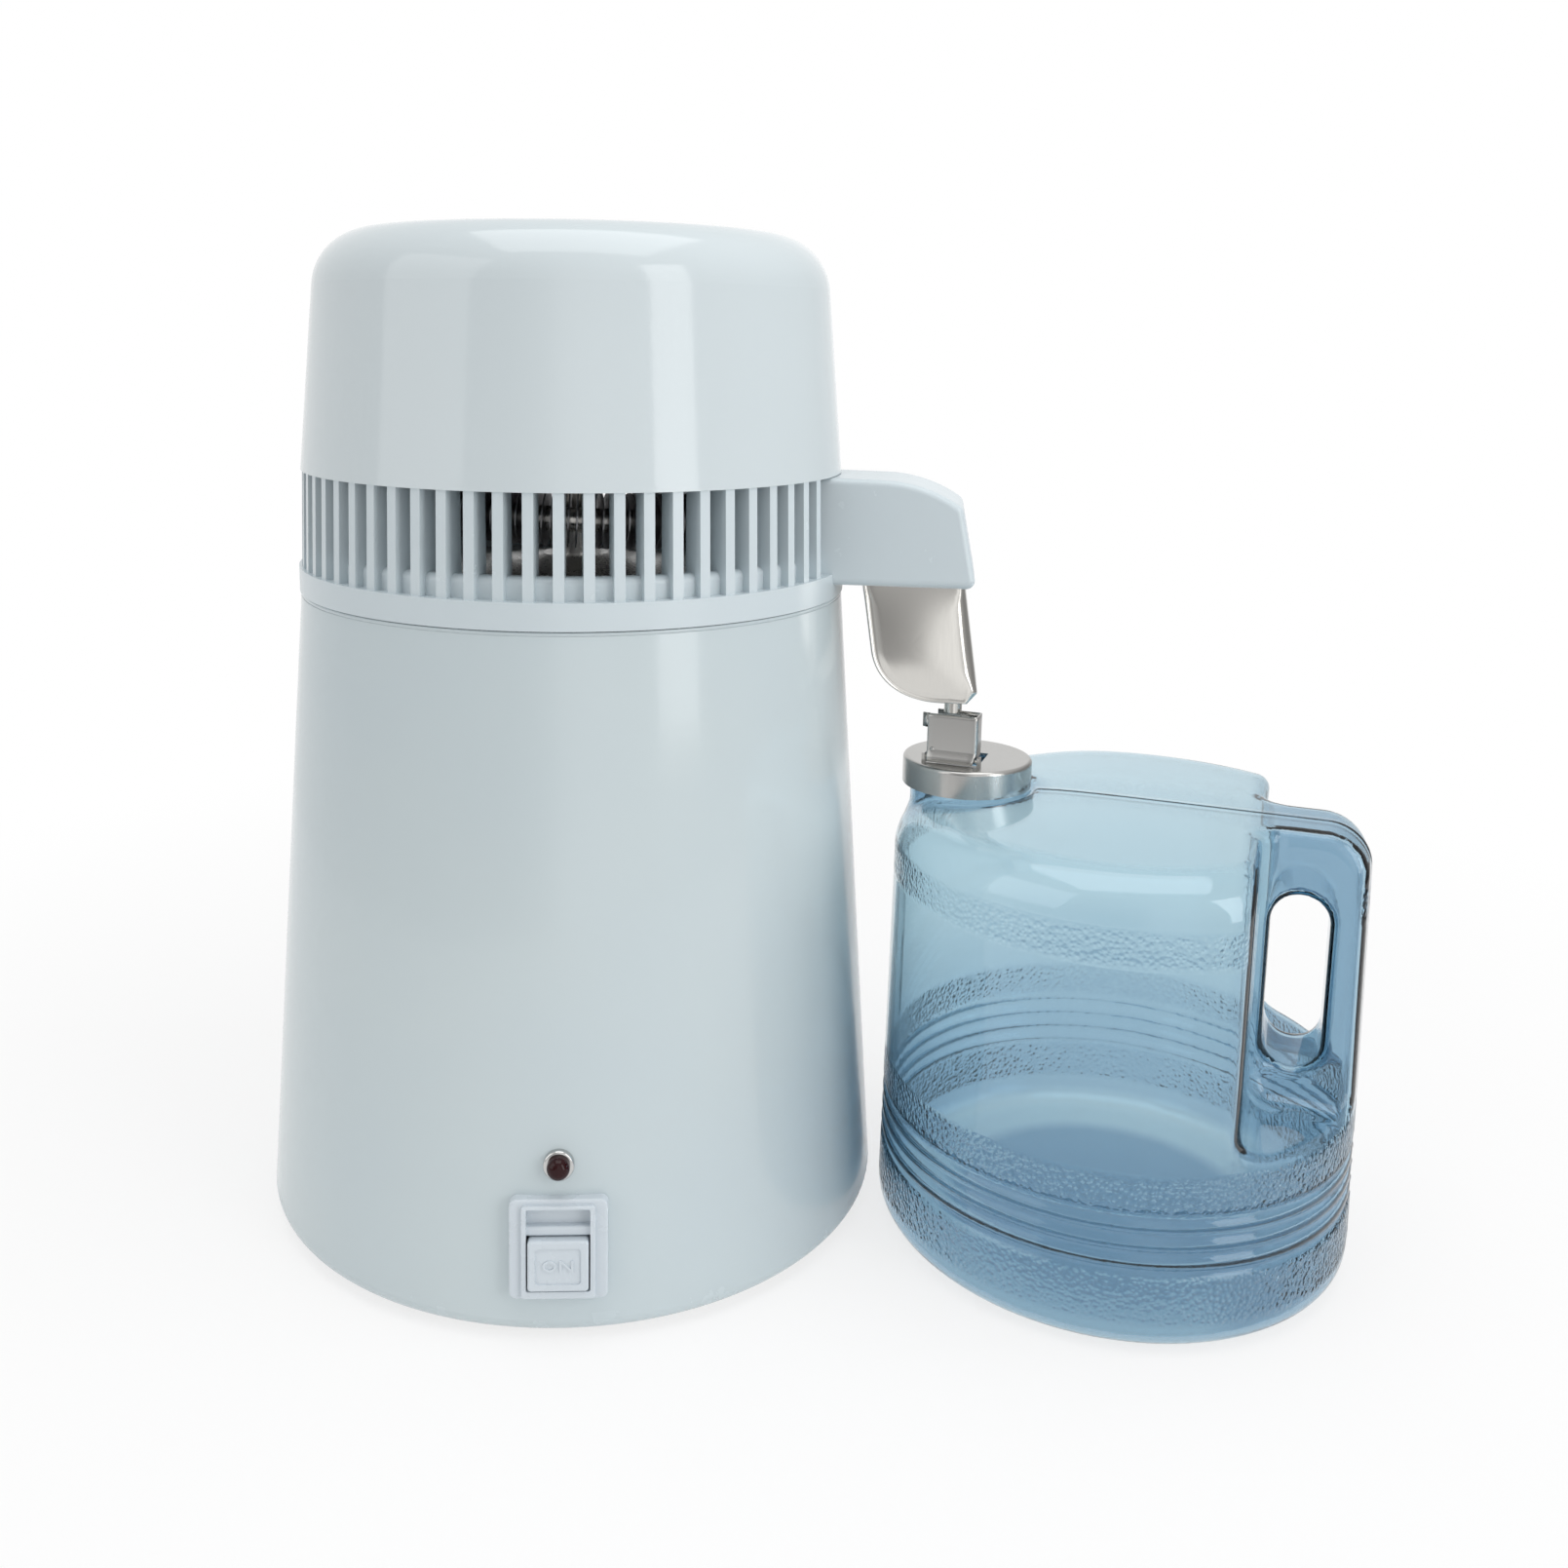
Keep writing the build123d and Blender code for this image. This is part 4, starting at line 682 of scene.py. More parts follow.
def jug_outside(u, n, z, ridge):
    """Distances from the jug's outer skin, with a ridge along its middle."""
    reach = np.hypot(u, n)
    line = ridge * np.exp(-(n / RIDGE_HALF) ** 2)
    side = reach - JUG_FOOT_RADIUS + JUG_TAPER * z / JUG_TALL - line
    run = -u - SLOPE_START
    fall = SLOPE_SHARE * (run + np.hypot(run, SLOPE_SOFT)) / 2 + TOP_CROWN * (n / JUG_FOOT_RADIUS) ** 2
    body = round_meet(side, z - JUG_TALL + fall - line, SHOULDER_ROUND)
    punt = PUNT_TALL * (1 + np.cos(np.pi * np.clip(reach / PUNT_RADIUS, 0, 1))) / 2
    body = round_meet(body, punt - z, FOOT_ROUND)
    neck_reach = np.hypot(u + NECK_OFFSET, n)
    seat = round_meet(neck_reach - SEAT_RADIUS, SEAT_LEVEL - z, SEAT_ROUND)
    body = round_meet(body, -seat, SEAT_ROUND)
    pocket = round_meet(POCKET_WALL - u, HANDLE_HALF - np.abs(n), POCKET_ROUND)
    body = round_meet(body, -round_meet(pocket, POCKET_FLOOR - z, POCKET_ROUND), POCKET_RIM)
    straight = np.maximum(np.abs(z - GRIP_LEVEL) - GRIP_STRAIGHT, 0)
    body = round_meet(body, GRIP_HALF - np.hypot(u - GRIP_MIDDLE, straight), GRIP_RIM)
    for i in range(GROOVE_COUNT):
        level = GROOVE_LOW + i * GROOVE_PITCH
        wall = JUG_FOOT_RADIUS - JUG_TAPER * level / JUG_TALL
        hollow = np.hypot(reach - wall - GROOVE_RADIUS + GROOVE_DEPTH, z - level)
        body = round_meet(body, GROOVE_RADIUS - hollow, GROOVE_RIM)
    bead = sum(np.exp(-((z - level) / BEAD_HALF) ** 2) for level in BEAD_LEVELS)
    neck = np.maximum(neck_reach - NECK_RADIUS - BEAD_PROUD * bead, NECK_FOOT - z)
    return -round_meet(-body, -neck, NECK_ROOT_ROUND)


def jug_skin(u, n, z):
    return jug_outside(u, n, z, RIDGE_PROUD)


def jug_hollow(u, n, z):
    """Distances from the jug's inner skin and the bore of its neck."""
    bore = np.maximum(np.hypot(u + NECK_OFFSET, n) - NECK_BORE, NECK_FOOT - z)
    return np.minimum(jug_outside(u, n, z, 0.0) + JUG_WALL, bore)


def open_shell(outer, inner, spans, level):
    """A wall between an outer and an inner skin, cut level at its top and joined there."""
    shape = bmesh.new()
    for field, turn in ((outer, 1), (inner, -1)):
        points, quads = skin_of(field, spans)
        skin = bmesh.new()
        corners = [skin.verts.new(point) for point in points]
        for quad in quads[:, ::turn]:
            skin.faces.new([corners[k] for k in quad])
        every = skin.verts[:] + skin.edges[:] + skin.faces[:]
        bmesh.ops.bisect_plane(skin, geom=every, plane_co=(0, 0, level), plane_no=(0, 0, 1), clear_outer=True)
        part = bpy.data.meshes.new("skin_part")
        skin.to_mesh(part)
        skin.free()
        shape.from_mesh(part)
        bpy.data.meshes.remove(part)
    rims = [edge for edge in shape.edges if edge.is_boundary]
    bmesh.ops.bridge_loops(shape, edges=rims)
    points = [vert.co[:] for vert in shape.verts]
    shape.verts.index_update()
    faces = [[vert.index for vert in face.verts] for face in shape.faces]
    shape.free()
    return points, faces


def set_in_frame(points, way, middle):
    """Points in millimetres of a piece's own axes, moved to metres in the frame."""
    side = Vector((0, 0, 1)).cross(way)
    place = Matrix((way, side, (0, 0, 1))).transposed()
    return [middle + place @ Vector(point) * MM for point in points]


def jug_wall():
    """The jug as one blown wall, open at its mouth."""
    wide = JUG_FOOT_RADIUS + 3 * JUG_WALL
    along = steps((-wide, wide, JUG_STEP))
    near = RIDGE_REACH
    across = steps((-wide, -near, JUG_STEP), (-near, near, RIDGE_STEP), (near, wide, JUG_STEP))
    under, grooves, wall, neck, over = JUG_GRID
    up = steps((under, grooves, FOOT_STEP), (grooves, wall, GROOVE_STEP), (wall, neck, JUG_STEP),
               (neck, over, NECK_STEP))
    points, faces = open_shell(jug_skin, jug_hollow, (along, across, up), NECK_TOP)
    placed = set_in_frame(points, JUG_WAY, JUG_FOOT)
    return make_piece("jug_wall", placed, faces, "jug", "jug_plastic", "jug_body")


def beyond(u, z, corners):
    """Distances past the edges of an outline that bulges outwards, walked with its outside on the right."""
    past = []
    for (start_u, start_z), (end_u, end_z) in zip(corners, corners[1:]):
        run, rise = end_u - start_u, end_z - start_z
        past.append(((u - start_u) * rise - (z - start_z) * run) / math.hypot(run, rise))
    return np.max(past, axis=0)


def cup_outline():
    """The cup's side from its top left round its foot to its tip."""
    knots = [Vector((x, z, 0)) for x, z in (CUP_FLANK,) + CUP_BEND + ((CUP_HEEL, CUP_BOTTOM),)]
    bend = [(point.x, point.y) for point in interpolate_bezier(*knots, 36)]
    return [(CUP_LEFT, CUP_TOP)] + bend + [(CUP_TOE, CUP_BOTTOM), CUP_TIP]


def along_line(start, end, count):
    """Points from a start up to, but without, an end."""
    return [tuple(a + (b - a) * i / count for a, b in zip(start, end)) for i in range(count)]


def evened(values, reach):
    """Values round a loop, each averaged with its neighbours."""
    return np.mean([np.roll(values, shift, axis=0) for shift in range(-reach, reach + 1)], axis=0)


def cup_rim():
    """Points round the cup's side from its top left, with the edge's bend and the share of hem at each."""
    outline = cup_outline()
    hemmed = along_line(outline[0], outline[1], 12) + outline[1:-3]
    hemmed += along_line(outline[-3], outline[-2], 6)
    corner = along_line(outline[-2], CUP_TIP, 4)
    bent = along_line(CUP_TIP, (CUP_MOUTH, CUP_TOP), 20)
    mouth = along_line((CUP_MOUTH, CUP_TOP), (CUP_LEFT, CUP_TOP), 16)
    bends = [HEM_BEND] * len(hemmed) + [2 * HEM_BEND] * len(corner)
    bends += [RIGHT_BEND] * len(bent) + [0.0] * len(mouth)
    hems = [1.0] * len(hemmed) + [0.0] * len(corner + bent + mouth)
    shown = hemmed + corner + bent
    return np.array(shown + mouth), evened(bends, 3), evened(hems, 2), len(shown)


def cup_depth(place, inset, bend, hem):
    """How far the cup's face stands out from its middle plane."""
    back = np.maximum(bend - inset, 0)
    edge = bend - np.sqrt(np.maximum(bend ** 2 - back ** 2, 0))
    roll = HEM_RISE * np.exp(-((inset - HEM_RISE_AT) / HEM_RISE_HALF) ** 2)
    roll = roll - HEM_SINK * np.exp(-((inset - HEM_SINK_AT) / HEM_SINK_HALF) ** 2)
    share = np.clip((place - CROWN_MIDDLE) / CROWN_HALF, -1, 1)
    return CUP_HALF_WIDE - edge + hem * roll + CUP_CROWN * (1 - share[:, 0] ** 2) * (1 - share[:, 1] ** 2)


def cup_face_rings():
    """Rings of (along, up, out) from the cup's rim in to the middle of its face."""
    rim, bends, hems, _ = cup_rim()
    middle = np.array(CROWN_MIDDLE)
    run = np.roll(rim, -1, axis=0) - np.roll(rim, 1, axis=0)
    outward = np.stack([run[:, 1], -run[:, 0]], axis=1) / np.linalg.norm(run, axis=1)[:, None]
    room = evened(((rim - middle) * outward).sum(axis=1), 2)
    rings = []
    for inset in RIM_INSETS:
        place = middle + (rim - middle) * (1 - inset / room)[:, None]
        rings.append(np.column_stack([place, cup_depth(place, inset, bends, hems)]))
    for share in RIM_SHARES:
        place = middle + (rings[len(RIM_INSETS) - 1][:, :2] - middle) * share
        rings.append(np.column_stack([place, cup_depth(place, RIM_INSETS[-1], bends * 0, hems * 0)]))
    return rings


def flared(along, up, out):
    """The cup's flank drawn left towards the back."""
    left = np.clip((CROWN_MIDDLE[0] - along) / CROWN_HALF[0], 0, 1)
    high = np.clip((up - FLARE_FOOT) / (CUP_TOP - FLARE_FOOT), 0, 1)
    return along - CUP_FLARE * left * high * (out + CUP_HALF_WIDE) / (2 * CUP_HALF_WIDE)


def thickened(points, faces, thickness):
    """A sheet of faces given a thickness on its inner side."""
    shape = bmesh.new()
    corners = [shape.verts.new(point) for point in points]
    for face in faces:
        shape.faces.new([corners[k] for k in face])
    shape.normal_update()
    bmesh.ops.solidify(shape, geom=shape.faces[:], thickness=thickness)
    shape.verts.index_update()
    solid = [vert.co[:] for vert in shape.verts]
    loops = [[vert.index for vert in face.verts] for face in shape.faces]
    shape.free()
    return solid, loops


def cup_wall():
    """The filter cup as one folded sheet, open at the top inside the spout."""
    rings = cup_face_rings()
    count = len(rings[0])
    mouth = cup_rim()[3]
    points = []
    faces = []
    for sign in (-1, 1):
        start = len(points)
        for along, up, out in np.concatenate(rings):
            points.append((flared(along, up, sign * out), sign * out, up))
        crown = CUP_HALF_WIDE + CUP_CROWN
        points.append((flared(*CROWN_MIDDLE, sign * crown), sign * crown, CROWN_MIDDLE[1]))
        for k in range(len(rings) - 1):
            faces += [face[::-sign] for face in hoop_faces(start + k * count, start + (k + 1) * count, count)]
        last = start + (len(rings) - 1) * count
        hub = start + len(rings) * count
        faces += [[last + i, last + (i + 1) % count, hub][::-sign] for i in range(count)]
    back = len(points) // 2
    rows = [list(range(count))]
    for row in range(1, FLANK_ROWS):
        share = row / FLANK_ROWS
        rows.append([len(points) + i for i in range(count)])
        near, far = np.array(points[:count]), np.array(points[back:back + count])
        points += [tuple(point) for point in (1 - share) * near + share * far]
    rows.append([back + i for i in range(count)])
    for near, far in zip(rows, rows[1:]):
        faces += [[near[i + 1], near[i], far[i], far[i + 1]] for i in range(mouth)]
    points, faces = thickened(points, faces, CUP_SHEET)
    placed = set_in_frame(points, SPOUT_WAY, Vector((0, 0, 0)))
    return make_piece("cup_wall", placed, faces, "head", "cup_steel", "filter_cup")


def sachet_skin(u, n, z):
    """Distances from a plump cloth pad with soft creases, inside the cup."""
    foot = np.maximum(beyond(u, z, cup_outline()), beyond(u, z, [CUP_TIP, (CUP_MOUTH, CUP_TOP)]))
    crease = SACHET_CREASE * np.sin(0.8 * u + 0.5 * n) * np.sin(0.6 * z - 0.4 * n)
    pad = round_meet(foot + SACHET_INSET, np.abs(n) - CUP_HALF_WIDE + SACHET_INSET, SACHET_ROUND)
    return round_meet(pad, z - SACHET_TOP, SACHET_ROUND) + SACHET_CREASE + crease


def sachet_pad():
    """The charcoal pad that fills the cup."""
    along = steps((CUP_LEFT, CUP_TIP[0], SACHET_STEP))
    across = steps((-CUP_HALF_WIDE, CUP_HALF_WIDE, SACHET_STEP))
    up = steps((CUP_BOTTOM, SACHET_TOP + 2, SACHET_STEP))
    points, faces = skin_of(sachet_skin, (along, across, up))
    placed = set_in_frame(points, SPOUT_WAY, Vector((0, 0, 0)))
    pad = make_piece("sachet_pad", placed, faces.tolist(), "head", "sachet_fabric", "charcoal_sachet")


def guide_plan():
    """The guide's folded strip seen from above: (along, back, share of flap), outside on the right."""
    plan = [(GUIDE_LEFT, GUIDE_FRONT + RETURN_DEEP, 1.0)]
    for turn in np.linspace(180, 270, 6):
        place = turned_place(GUIDE_LEFT + RETURN_BEND, GUIDE_FRONT + RETURN_BEND, RETURN_BEND, turn)
        plan.append(place + (1.0,))
    face = along_line(plan[-1][:2], (GUIDE_RIGHT - GUIDE_BEND, GUIDE_FRONT), 8)
    plan += [point + (1.0,) for point in face[1:]]
    for i, turn in enumerate(np.linspace(270, 360, 8)):
        place = turned_place(GUIDE_RIGHT - GUIDE_BEND, GUIDE_FRONT + GUIDE_BEND, GUIDE_BEND, turn)
        plan.append(place + (max(0.0, 1 - i / 4),))
    for turn in np.linspace(0, 90, 8):
        place = turned_place(GUIDE_RIGHT - GUIDE_BEND, GUIDE_BACK - GUIDE_BEND, GUIDE_BEND, turn)
        plan.append(place + (0.0,))
    return plan + [(GUIDE_LEFT + GUIDE_INSET, GUIDE_BACK, 0.0)]


def turned_place(along, back, radius, turn):
    angle = math.radians(turn)
    return along + radius * math.cos(angle), back + radius * math.sin(angle)


def strip_faces(columns, rows):
    """Quads of a sheet laid out column by column."""
    return [[i * rows + j, (i + 1) * rows + j, (i + 1) * rows + j + 1, i * rows + j + 1]
            for i in range(columns - 1) for j in range(rows - 1)]


def guide_strip():
    """The folded guide, with a flap over its hinge."""
    lifts = (0.0, 0.5, 1.0)
    climbs = (0.03, 0.1, 0.3, 0.6, 0.9, 1.0)
    points = []
    plan = guide_plan()
    for along, back, flap in plan:
        foot = GUIDE_FOOT + (FLAP_FOOT - GUIDE_FOOT) * flap
        for lift in lifts:
            points.append((along, back - FLAP_OUT * flap * (1 - lift), foot + (FLAP_CREASE - foot) * lift))
        points += [(along, back, FLAP_CREASE + (GUIDE_TOP - FLAP_CREASE) * climb) for climb in climbs]
    return thickened(points, strip_faces(len(plan), len(lifts + climbs)), GUIDE_SHEET)


def guide_ear():
    """A small ear bent back at the guide's top left."""
    plan = [(GUIDE_LEFT - EAR_WIDE * share, GUIDE_FRONT + RETURN_DEEP * share) for share in (1.0, 0.5)]
    plan.append((GUIDE_LEFT + RETURN_BEND, GUIDE_FRONT))
    points = [(along, back, level) for along, back in plan for level in (GUIDE_TOP - EAR_TALL, GUIDE_TOP)]
    return thickened(points, strip_faces(len(plan), 2), GUIDE_SHEET)


def guide_knuckle():
    """The rolled foot of the guide round its hinge pin."""
    sides = KNUCKLE_SIDES
    points = []
    for along in (GUIDE_LEFT + RETURN_BEND, GUIDE_RIGHT - GUIDE_BEND):
        for i in range(sides):
            turn = turned_place(HINGE_LINE, HINGE_LEVEL, KNUCKLE_RADIUS, 360 * i / sides)
            points.append((along,) + turn)
    return points, [face[::-1] for face in hoop_faces(0, sides, sides)]


def guide_stud():
    """A small round stud low on the guide's face."""
    sides = STUD_SIDES
    points = []
    for share, proud in STUD_STEPS:
        for i in range(sides):
            along, up = turned_place(*STUD_PLACE, STUD_RADIUS * share, 360 * i / sides)
            points.append((along, GUIDE_FRONT - proud, up))
    last = len(STUD_STEPS) - 1
    faces = [face for k in range(last) for face in hoop_faces(k * sides, (k + 1) * sides, sides)]
    return points, faces + [list(range(last * sides, (last + 1) * sides))]


def drip_guide_sheet():
    """The drip guide: folded strip, ear, knuckle and stud as one piece."""
    points = []
    faces = []
    for more, loops in (guide_strip(), guide_ear(), guide_knuckle(), guide_stud()):
        faces += [[len(points) + k for k in loop] for loop in loops]
        points += more
    placed = set_in_frame(points, JUG_WAY, CAP_FOOT)
    return make_piece("drip_guide_sheet", placed, faces, "guide", "cap_steel", "drip_guide")


def polar(reach, bearing, level):
    return np.array([reach * math.cos(math.radians(bearing)), reach * math.sin(math.radians(bearing)), level])


def arc(middle, start, ahead, turn, count):
    """Points round a middle, from a start arm towards the way ahead."""
    angles = np.linspace(0, math.radians(turn), count)
    return [middle + start * math.cos(a) + ahead * math.sin(a) for a in angles]


def coil_line():
    """The condenser tube's line: riser, bend, falling turns, then out along the spout and down."""
    lead = math.degrees(math.asin(COIL_BEND / (COIL_RADIUS + COIL_BEND)))
    entry = math.degrees(math.asin(COIL_BEND / (COIL_RADIUS - COIL_BEND)))
    last = SPOUT_BEARING - lead
    radial = last - entry
    up = np.array([0, 0, 1.0])
    out = polar(1, radial, 0)
    line = [polar(0, 0, RISER_FOOT)]
    line += arc(polar(COIL_BEND, radial, COIL_HIGH - COIL_BEND), -COIL_BEND * out, COIL_BEND * up, 90, 12)
    turn_in = polar(math.sqrt((COIL_RADIUS - COIL_BEND) ** 2 - COIL_BEND ** 2), radial, COIL_HIGH)
    middle = polar(COIL_RADIUS - COIL_BEND, last, COIL_HIGH)
    line += arc(middle, turn_in - middle, COIL_BEND * out, 90 + entry, 18)[:-1]
    line += [coil_place(share, last) for share in np.linspace(0, 1, 72 * COIL_TURNS + 1)]
    middle = polar(COIL_RADIUS + COIL_BEND, last, COIL_LOW)
    line += arc(middle, -polar(COIL_BEND, last, 0), polar(COIL_BEND, last + 90, 0), 90 - lead, 16)[1:]
    middle = polar(OUTLET_REACH - OUTLET_BEND, SPOUT_BEARING, COIL_LOW - OUTLET_BEND)
    line += arc(middle, OUTLET_BEND * up, polar(OUTLET_BEND, SPOUT_BEARING, 0), 90, 12)
    return np.array(line + [polar(OUTLET_REACH, SPOUT_BEARING, OUTLET_END)]), last


def coil_place(share, last):
    """A place on the falling turns, from their top at 0 to their foot at 1."""
    return polar(COIL_RADIUS, last + 360 * COIL_TURNS * share, COIL_HIGH + (COIL_LOW - COIL_HIGH) * share)


def hoop(middle, way, radius, sides):
    """Points of a circle square to a way, starting from its upper side."""
    way = way / np.linalg.norm(way)
    first = np.array([0, 0, 1.0]) - way * way[2]
    if np.linalg.norm(first) < 0.2:
        first = polar(1, SPOUT_BEARING, 0) * -np.sign(way[2])
    first = first / np.linalg.norm(first)
    second = np.cross(way, first)
    angles = np.linspace(0, 2 * math.pi, sides, endpoint=False)
    return [middle + radius * (first * math.cos(a) + second * math.sin(a)) for a in angles]


def hoop_faces(first, second, sides):
    """Quads between two hoops, by the numbers of their first points."""
    return [[first + i, first + (i + 1) % sides, second + (i + 1) % sides, second + i] for i in range(sides)]


def condenser_tube():
    """The condenser's bent tube, with closed ends."""
    line, _ = coil_line()
    ways = np.gradient(line, axis=0)
    sides = TUBE_SIDES
    points = []
    faces = []
    side = polar(1, SPOUT_BEARING + 90, 0)
    for middle, way in zip(line, ways):
        way = way / np.linalg.norm(way)
        side = side - way * np.dot(side, way)
        side = side / np.linalg.norm(side)
        other = np.cross(way, side)
        for k in range(sides):
            angle = 2 * math.pi * k / sides
            points.append(middle + COIL_TUBE * (side * math.cos(angle) + other * math.sin(angle)))
    for i in range(len(line) - 1):
        faces += hoop_faces(i * sides, (i + 1) * sides, sides)
    faces += [list(range(sides))[::-1], list(range(len(points) - sides, len(points)))]
    placed = [Vector(point) * MM for point in points]
    return make_piece("condenser_tube", placed, faces, "head", "coil_steel", "condenser_coil")


def fin_stack():
    """The thin discs strung on the condenser's two turns."""
    _, last = coil_line()
    sides = FIN_SIDES
    points = []
    faces = []
    for i in range(FIN_COUNT):
        share = (i + 1) / (FIN_COUNT + 1)
        middle = coil_place(share, last)
        way = coil_place(share + 0.001, last) - coil_place(share - 0.001, last)
        half = way / np.linalg.norm(way) * FIN_SHEET / 2
        start = len(points)
        for place, radius in ((middle + half, FIN_BORE), (middle + half, FIN_RADIUS),
                              (middle - half, FIN_RADIUS), (middle - half, FIN_BORE)):
            points += hoop(place, way, radius, sides)
        for k in range(4):
            faces += hoop_faces(start + k * sides, start + (k + 1) % 4 * sides, sides)
    stack = make_piece("fin_stack", [Vector(point) * MM for point in points], faces, "head", "fin_aluminium",
                       "condenser_fins")
    stack.data.shade_flat()


def switch_place(x, y, proud):
    """A place over the push button's panel, in metres."""
    up = SWITCH_FACE.cross(Vector((1, 0, 0)))
    panel = SWITCH_MIDDLE + up * PANEL_LOW + SWITCH_FACE * PANEL_PROUD
    return (panel + Vector((x, 0, 0)) + up * y + SWITCH_FACE * proud) * MM


def raised_band(outer, inner):
    """Points and faces of a raised ring between two outlines with as many points each."""
    count = len(outer)
    points = [switch_place(x, y, proud) for proud in (-LETTER_PROUD, LETTER_PROUD) for x, y in outer + inner]
    faces = []
    for i in range(count):
        j = (i + 1) % count
        high = 2 * count
        faces.append([high + i, high + j, high + count + j, high + count + i])
        faces.append([i, j, high + j, high + i])
        faces.append([count + j, count + i, high + count + i, high + count + j])
    return points, faces


def switch_letters():
    """Low raised letters on the push button, round first and straight second."""
    wide, tall, stroke = LETTER_WIDE / 2, LETTER_TALL / 2, LETTER_STROKE
    middle = (LETTER_WIDE + LETTER_GAP) / 2
    turns = [2 * math.pi * i / LETTER_SIDES for i in range(LETTER_SIDES)]
    outer = [(-middle + wide * math.cos(a), tall * math.sin(a)) for a in turns]
    inner = [(-middle + (wide - stroke) * math.cos(a), (tall - stroke) * math.sin(a)) for a in turns]
    points, faces = raised_band(outer, inner)
    make_piece("letter_round", points, faces, "button", "switch_plastic").data.shade_flat()
    left, right = middle - wide, middle + wide
    slant = stroke * LETTER_SLANT
    edge = [(left, -tall), (left + stroke, -tall), (left + stroke, tall - slant), (right - stroke, -tall),
            (right, -tall), (right, tall), (right - stroke, tall), (right - stroke, -tall + slant),
            (left + stroke, tall), (left, tall)]
    count = len(edge)
    points = [switch_place(x, y, proud) for proud in (-LETTER_PROUD, LETTER_PROUD) for x, y in edge]
    faces = [[count + i for i in range(count)]]
    faces += [[i, (i + 1) % count, count + (i + 1) % count, count + i] for i in range(count)]
    make_piece("letter_straight", points, faces, "button", "switch_plastic").data.shade_flat()


def seam_rim():
    """The casing's folded top edge, which closes the seam under the vent band."""
    sides = SEAM_SIDES
    points = []
    for radius, level in SEAM_OUTLINE:
        points += [Vector(polar(radius, 360 * i / sides, level)) * MM for i in range(sides)]
    faces = []
    for k in range(len(SEAM_OUTLINE)):
        faces += hoop_faces(k * sides, (k + 1) % len(SEAM_OUTLINE) * sides, sides)
    make_piece("seam_rim", points, faces, "base", "casing_paint")


# Floor, backdrop and light

def plain_ground():
    """A pale ground that reads as white and keeps part of the shadow near the object."""
    material, tree, _ = new_material("floor_white")
    tree.nodes.clear()
    out = add(tree, "OutputMaterial")
    rays = add(tree, "LightPath")
    seen = sum_of(tree, "ADD", rays.outputs["Is Camera Ray"], rays.outputs["Is Glossy Ray"])
    seen = sum_of(tree, "ADD", seen, rays.outputs["Is Transmission Ray"])
    seen = sum_of(tree, "MINIMUM", seen, 1.0)
    far = measured(tree, "LENGTH", add(tree, "TexCoord").outputs["Object"])
    near = spread(tree, far, SHADOW_NEAR, FLOOR_RADIUS, SHADOW_KEPT, 0.0, interpolation_type="SMOOTHSTEP")
    share = sum_of(tree, "MULTIPLY", seen, sum_of(tree, "SUBTRACT", 1.0, near))
    matt = add(tree, "BsdfDiffuse")
    feed(tree, matt, {"Color": FLOOR_COLOUR})
    glow = add(tree, "Emission")
    feed(tree, glow, {"Color": (1, 1, 1, 1), "Strength": 1.0})
    mixed = add(tree, "MixShader")
    feed(tree, mixed, {0: share, 1: matt.outputs[0], 2: glow.outputs[0]})
    feed(tree, out, {"Surface": mixed.outputs[0]})
    return material


def make_floor():
    """A plain pale floor under the distiller."""
    mesh = bpy.data.meshes.new("floor")
    shape = bmesh.new()
    bmesh.ops.create_circle(shape, cap_ends=True, segments=96, radius=FLOOR_RADIUS)
    shape.to_mesh(mesh)
    shape.free()
    floor = bpy.data.objects.new("floor", mesh)
    floor.location = FLOOR_PLACE
    mesh.materials.append(plain_ground())
    scene.collection.objects.link(floor)


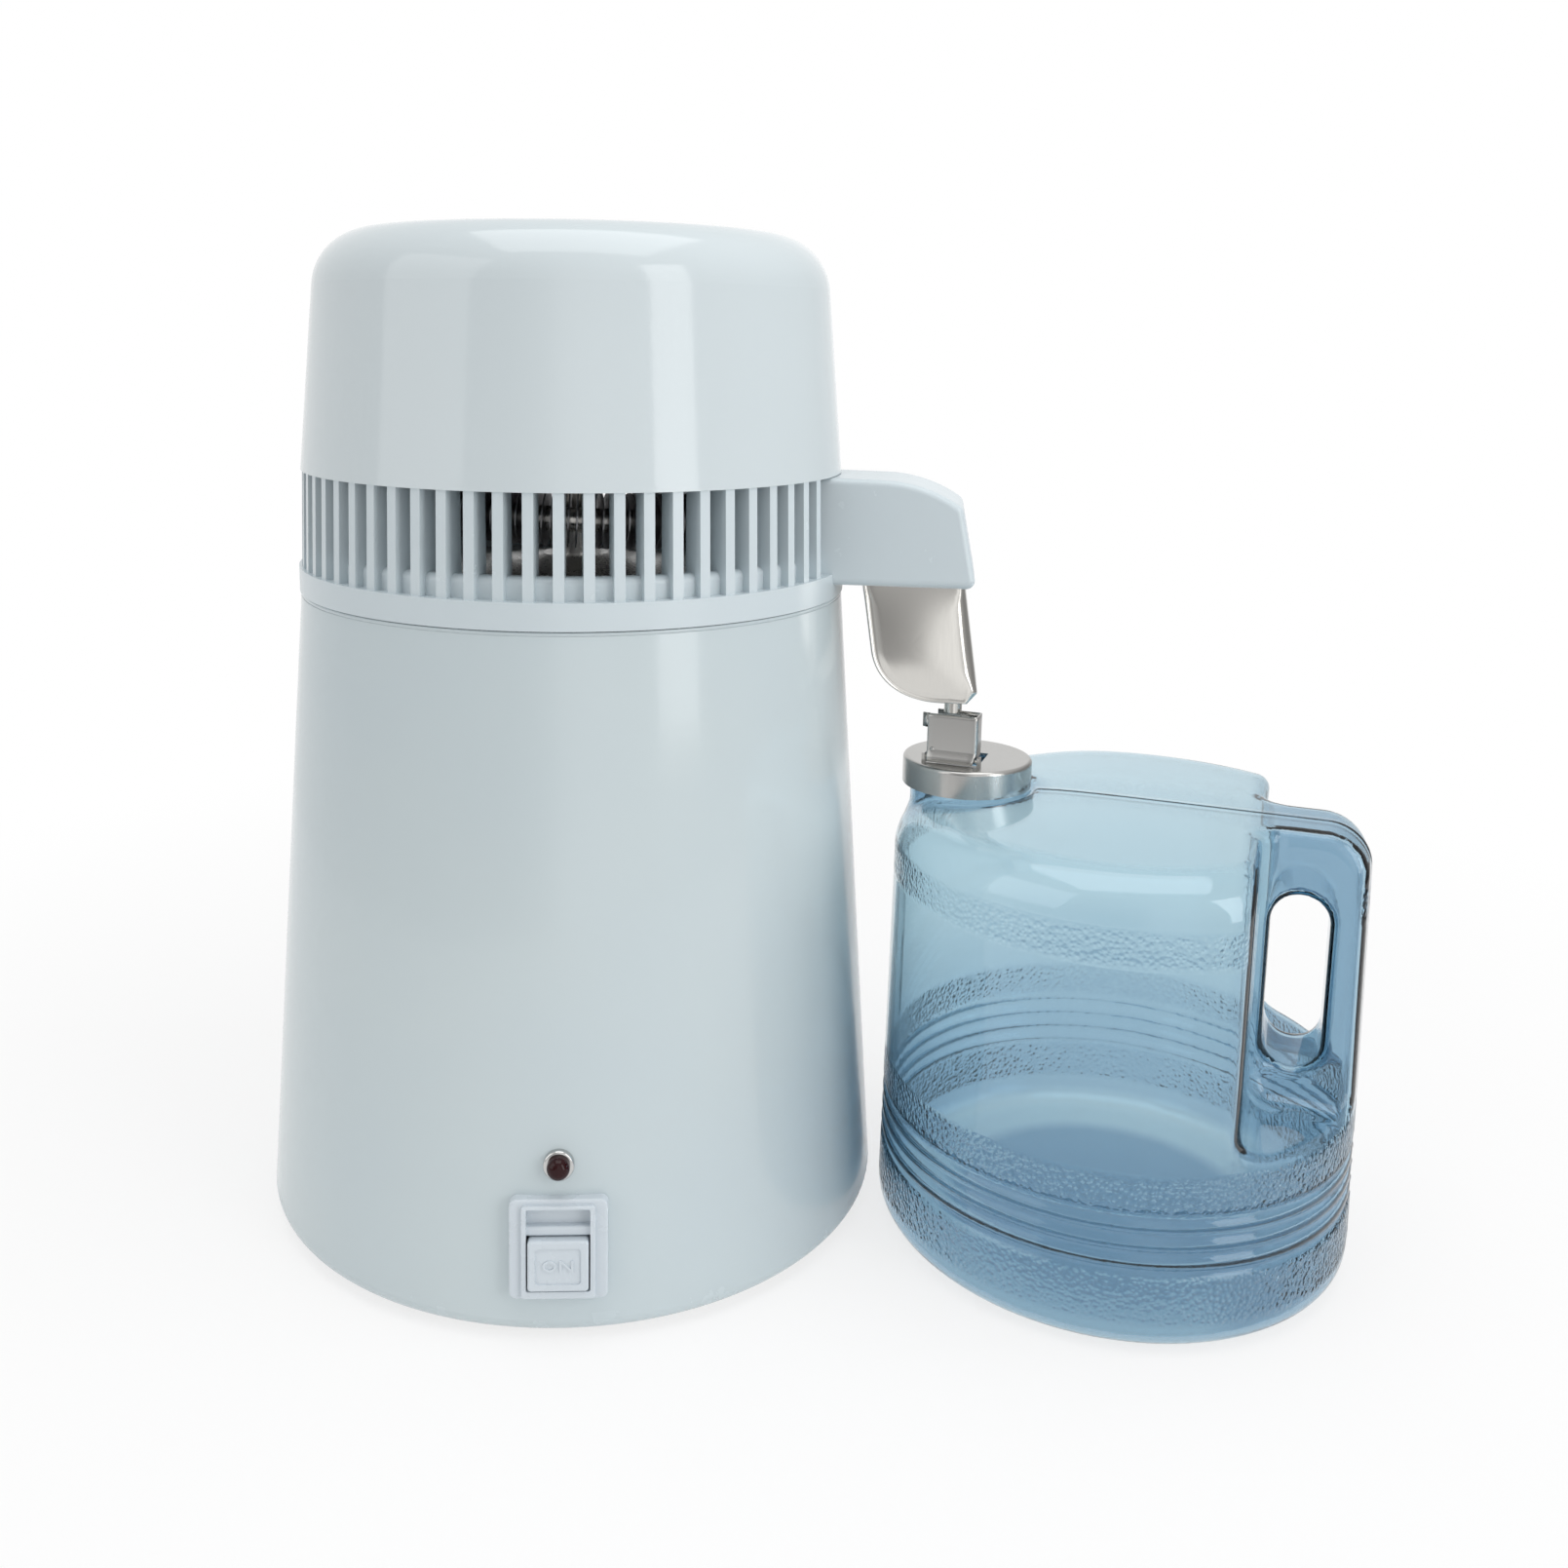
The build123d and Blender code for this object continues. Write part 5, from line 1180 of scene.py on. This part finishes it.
def make_world():
    """Soft light from all round, seen as white, with a room of light and dark stretches for the gloss."""
    world = bpy.data.worlds.new("studio")
    scene.world = world
    world.use_nodes = True
    tree = world.node_tree
    back = tree.nodes["Background"]
    rays = add(tree, "LightPath")
    way = add(tree, "SeparateXYZ")
    feed(tree, way, {0: add(tree, "TexCoord").outputs["Generated"]})
    bearing = sum_of(tree, "ARCTAN2", way.outputs["X"], sum_of(tree, "MULTIPLY", way.outputs["Y"], -1.0))
    room = add(tree, "ValToRGB")
    ramp = room.color_ramp
    for turn, level in ROOM_GLOSS:
        ramp.elements.new(turn / 360 + 0.5).color = (level, level, level, 1)
    for end in (0, -1):
        ramp.elements[end].color = (ROOM_BACK, ROOM_BACK, ROOM_BACK, 1)
    feed(tree, room, {0: spread(tree, bearing, -math.pi, math.pi, 0.0, 1.0)})
    high = spread(tree, way.outputs["Z"], *CEILING_SPAN, 0.0, 1.0)
    walls = sum_of(tree, "MULTIPLY", room.outputs["Color"], ROOM_SHARE)
    gloss = spread(tree, high, 0.0, 1.0, walls, CEILING_GLOSS)
    seen = sum_of(tree, "ADD", rays.outputs["Is Camera Ray"], rays.outputs["Is Transmission Ray"])
    seen = sum_of(tree, "MINIMUM", seen, 1.0)
    strength = spread(tree, rays.outputs["Is Glossy Ray"], 0.0, 1.0, ROOM_LIGHT, gloss)
    strength = spread(tree, seen, 0.0, 1.0, strength, 1.0)
    feed(tree, back, {"Color": (1, 1, 1, 1), "Strength": strength})


def soft_box(name, place, aim, width, tall, power, mirrored):
    """A rectangular soft light that faces a point, and may be kept out of the reflections."""
    data = bpy.data.lights.new(name, "AREA")
    data.shape = "RECTANGLE"
    data.size = width
    data.size_y = tall
    data.energy = power
    light = bpy.data.objects.new(name, data)
    light.location = place
    way = Vector(aim) - Vector(place)
    light.rotation_euler = way.to_track_quat("-Z", "Y").to_euler()
    light.visible_glossy = mirrored
    scene.collection.objects.link(light)


place_camera()
dress_nodes()
make_floor()
make_world()
for lamp in LAMPS:
    soft_box(*lamp)
jug_wall()
cup_wall()
sachet_pad()
drip_guide_sheet()
condenser_tube()
fin_stack()
switch_letters()
seam_rim()
